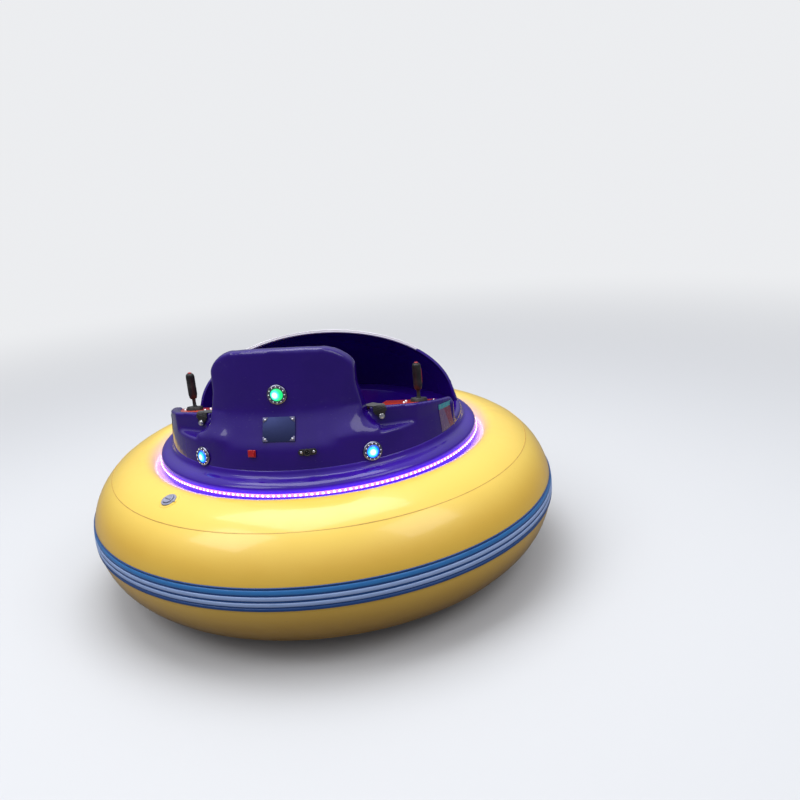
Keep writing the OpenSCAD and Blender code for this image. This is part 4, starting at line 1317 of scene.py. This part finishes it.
def makeSticks():
    s = stick
    h, r, sink = s["high"], s["baseR"], -.0118
    cups, screws = [], []
    cupShape = [(.015, sink), (r, sink), (r, -.009), (r - .001, -.006), (.031, 0.0), (.0298, .0018), (.028, .0024),
                (.024, .0022), (.0222, .0014), (.015, -.0022)]
    deckTilt, topTilt = (turnBy(math.radians(s[name]), "X") for name in ("deckSlope", "topSlope"))
    shaft = turned([(0, -.01), (.0045, -.009), (.008, -.006), (.0098, -.002), (.0099, .002), (.0085, .0058),
                    (.007, .008),
                    (.0069, .034), (.0088, .0345), (.0088, .0385), (0, .0385)], 32, closed=False)
    grip = gripShape()
    trigger = box((.0072, .005, .058), (.0142, .0035, .088), .002, 3)
    button = turned([(0, .0052), (.004, .005), (.0062, .0042), (.0072, .0028), (.0075, -.0008), (0, -.0008)], 28,
                    closed=False)
    placed(button, moveTo(0, 0, h - .0015) @ topTilt)
    collar = turned([(.0072, -.001), (.0096, -.001), (.0096, .0016), (.009, .0022), (.0078, .0022), (.0072, .0014)],
                    28)
    placed(collar, moveTo(0, 0, h - .002) @ topTilt)
    for side, name in ((-1, "left"), (1, "right")):
        place = moveTo(side * s["x"], s["y"], s["z"])
        cups.append(placed(turned(cupShape, 56), place @ deckTilt))
        pin = turned([(0, -.017), (.003, -.017), (.003, .017), (0, .017)], 20, closed=False)
        cups.append(placed(pin, place @ turnBy(math.pi / 2, "Y")))
        for sx, sy in fourWays:
            spot = moveTo(sx * s["screws"][0], sy * s["screws"][1], sink)
            screws.append(placed(crossScrew(.0058, .0042), place @ deckTilt @ spot))
        there, rider = place @ scaleBy(side, 1, 1), "joystick_" + name
        piece(copied(shaft, there), "stickShaft_" + name, black, body=rider)
        piece(copied(grip, there), "stickGrip_" + name, gripBlack, [rider], body=rider, angle=50)
        buttons = joined(copied(button, there), copied(trigger, there))
        piece(buttons, "stickButtons_" + name, redPlastic, ["button_" + name], body=rider)
        piece(copied(collar, there), "stickCollar_" + name, gripBlack, body=rider)
    drop(shaft, grip, trigger, button, collar)
    piece(joined(*cups), "stickCups", black, ["joystick_bases"], angle=40)
    piece(joined(*screws), "deckScrews", chrome)


makeSticks()
print("joysticks ready")


# running gear under the hull

gear = {"axleZ": .1, "axleY": -.05, "wheelX": .35, "wheelW": .045, "tyreR": .1, "rimR": .068, "lugs": 44,
        "boxSize": (.062, .084, .09), "boxX": .3035, "motorR": .042, "motorLong": .13, "fins": 28}


def onAxle(o, x, side=1):
    return placed(o, moveTo(x, gear["axleY"], gear["axleZ"]) @ turnBy(side * math.pi / 2, "Y"))


def makeTyres():
    g = gear
    w, outer, inner = g["wheelW"] / 2, g["tyreR"], g["rimR"]
    half = [(inner, w - .004), (inner + .002, w - .001), (inner + .006, w), (outer - .014, w),
            (outer - .006, w - .002),
            (outer - .002, w - .0065), (outer, w - .0105), (outer, .009), (outer - .0045, .0085),
            (outer - .0045, .0065), (outer, .006)]
    profile = half + [(a, -b) for a, b in reversed(half)]
    hub = [(0, .0262), (.006, .0258), (.0105, .0242), (.0128, .0232), (.015, .0228), (.015, .0212), (0, .0212)]
    lug = box((.0046, .011, .0052), (0, 0, 0), .0008, 1)
    for side, name in ((-1, "left"), (1, "right")):
        ring, wheel = turned(profile, 96), "drive_wheel_" + name
        lugs = []
        for k in range(g["lugs"]):
            for s in (-1, 1):
                turn = turnBy(tau * (k + (.5 if s > 0 else 0)) / g["lugs"], "Z")
                lugs.append(copied(lug, turn @ moveTo(outer - .0028, 0, s * .0168) @ turnBy(s * .35, "X")))
        piece(onAxle(joined(ring, *lugs), side * g["wheelX"]), "driveTyre_" + name, tyreRubber,
              ["drive_tyre_" + name], body=wheel, angle=35)
        softened(["drive_rim_" + name], .0009, alloy, "driveRim_" + name, wheel)
        nuts = studded(5, .034, lambda: hexBolt(.005, .0042, .0066), .005, math.pi / 5)
        nuts = joined(nuts, turned(hub, 32, closed=False))
        piece(onAxle(nuts, side * g["wheelX"], side), "wheelNuts_" + name, zinc, body=wheel)
    drop(lug)


def makeMotors():
    g = gear
    parts, steel = [], []
    r, far, size = g["motorR"], g["motorLong"], g["boxSize"]
    barrelShape = [(0, 0), (.02, 0), (.022, .002), (r - .007, .002), (r - .003, .004), (r - .001, .008),
                   (r - .001, .02), (r - .004, .022),
                   (r - .004, .026), (r - .002, .028), (r - .002, far - .018), (r - .004, far - .016),
                   (r - .004, far - .012),
                   (r, far - .01), (r, far), (0, far)]
    post = [(0, .001), (.003, .001), (.0034, .0022), (.0034, .006), (0, .006)]
    for side in (-1, 1):
        case = box(size, (0, 0, 0), .006, 4)
        pick(case, lambda n: abs(n.y) > .99 or n.z < -.99)   # a raised rim on the gearbox's cheeks
        bpy.ops.mesh.inset(thickness=.006, use_individual=True)
        bpy.ops.mesh.extrude_region_shrink_fatten(TRANSFORM_OT_shrink_fatten={"value": -.002})
        done()
        parts.append(placed(case, moveTo(side * (g["boxX"] - size[0] / 2), g["axleY"], g["axleZ"])))
        barrel = turned(barrelShape, 48, closed=False)
        fins = studded(g["fins"], r - .002, lambda: box((.0034, .002, far - .052), (0, 0, far / 2 + .004), .0005, 1))
        posts = studded(4, r - .006, lambda: turned(post, 10, closed=False), 0, tau / 8)
        parts.append(onAxle(joined(barrel, fins, posts), side * (g["boxX"] - size[0] - far), side))
        parts.append(box((.036, .03, .014), (side * .165, g["axleY"] - .036, g["axleZ"] + .018), .003, 3))
        shaft = turned([(0, -.004), (.01, -.004), (.01, .062), (.0092, .065), (0, .065)], 40, closed=False)
        flange = turned([(.0104, -.001), (.024, -.001), (.024, .003), (.022, .005), (.0104, .005)], 48)
        bolts = studded(4, .0185, lambda: hexBolt(.004, .003, .0052), .004, tau / 8)
        steel.append(onAxle(joined(shaft, flange, bolts), side * g["boxX"], side))
    piece(joined(*parts), "gearMotors", motorPaint, ["drive_motors"], angle=38)
    piece(joined(*steel), "driveShafts", zinc, angle=35)


def makeFrameParts():
    softened(["frame_rails"], .0022, framePaint, "frameRails")
    softened(["frame_crossmembers"], .0022, framePaint, "frameCrossmembers")
    softened(["motor_brackets"], .0012, framePaint, "motorBrackets")
    softened(["battery"], .006, black, "batteryBlock", segments=3)
    softened(["caster_mounts"], .0009, zinc, "casterMounts")
    for name in ("front", "rear"):
        softened(["caster_fork_" + name], .0007, zinc, "casterFork_" + name, "caster_swivel_" + name)
        softened(["caster_wheel_" + name], .0011, casterRubber, "casterWheel_" + name,
                 "caster_roller_" + name)
    bolts = []
    for y in (-.36, .36):   # the casters' plates are bolted to the crossmembers
        for sx, sy in fourWays:
            bolts.append(placed(hexBolt(.006, .0044, .0082), moveTo(sx * .043, y + sy * .03, .178) @ turnBy(math.pi,
                                                                                                            "X")))
    for side in (-1, 1):      # and the brackets to the rails
        for x in (.228, .274):
            for y in (-.048, .048):
                spot = moveTo(side * x, gear["axleY"] + y, .1453)
                bolts.append(placed(hexBolt(.0058, .0044, .0078), spot @ turnBy(math.pi, "X")))
    piece(joined(*bolts), "frameBolts", zinc, angle=30)


makeTyres()
makeMotors()
makeFrameParts()
print("running gear ready")


# ribbed rubber mat on the floor, and the plain coloured panels on the consoles' sides

mat = {"halfX": .262, "fromY": .072, "toY": .352, "z": .2302, "thick": .004, "ribs": 21, "margin": .015}


def makeMat():
    p = mat
    middle, deep = (p["fromY"] + p["toY"]) / 2, p["toY"] - p["fromY"]
    sheet = box((2 * p["halfX"], deep, p["thick"]), (0, middle, p["z"] + p["thick"] / 2), .0018, 2)
    step = (2 * p["halfX"] - 2 * p["margin"]) / (p["ribs"] - 1)
    places = [-p["halfX"] + p["margin"] + k * step for k in range(p["ribs"])]
    ribs = [box((.006, deep - 2 * p["margin"], .003), (x, middle, p["z"] + p["thick"] + .0008), .001,
                2) for x in places]
    piece(joined(sheet, *ribs), "floorMat", tyreRubber)


decal = {"from": 65.0, "to": 77.4, "low": .604, "high": .712, "fall": .016, "out": .0006}


def decalLook(name, panel, shade, line):
    look = Look(name, Roughness=.22, Coat_Weight=.3, Coat_Roughness=.06)
    at = look.node("ShaderNodeUVMap")
    u, v = look.axis(at, "X"), look.axis(at, "Y")
    stain = look.speckle(look.place(), 40.0, 5, .6).between(.4, .8)
    face = look.blend((u + v * .3).between(.52, .56), panel, shade)
    face = look.blend(v.between(.8, .83), face, line)
    return look.set(Base_Color=look.blend(stain * .3, face, (.12, .1, .16)), Roughness=.2 + stain * .2,
                    Normal=look.bump(stain, .0001, .3))


decalPaint = decalLook("sidePanelFilm", tone("#5e4a74"), tone("#6c2046"), tone("#2c8fa4"))


def makeDecals():
    d = decal
    made = []
    for side in (-1, 1):
        def where(i, j):
            a = math.radians(d["from"] + (d["to"] - d["from"]) * i)
            z = d["low"] + (d["high"] - d["fall"] * i - d["low"]) * j
            r = wall["r"] - .012 * min((z - wall["z"]) / .114, 1) + d["out"]
            return Vector((side * r * math.sin(a), -r * math.cos(a), z))

        def spread(v):
            i = (math.degrees(math.atan2(abs(v.co.x), -v.co.y)) - d["from"]) / (d["to"] - d["from"])
            return i, (v.co.z - d["low"]) / (d["high"] - d["fall"] * i - d["low"])

        o = gridPiece(16, 12, where)
        unwrap(o, spread)
        if o.data.polygons[8].normal.x * side < 0:
            o.data.flip_normals()
        made.append(modify(o, "SOLIDIFY", thickness=.0004, offset=1.0))
    piece(joined(*made), "sidePanels", decalPaint, angle=50)


makeMat()
makeDecals()
print("mat and side panels ready")
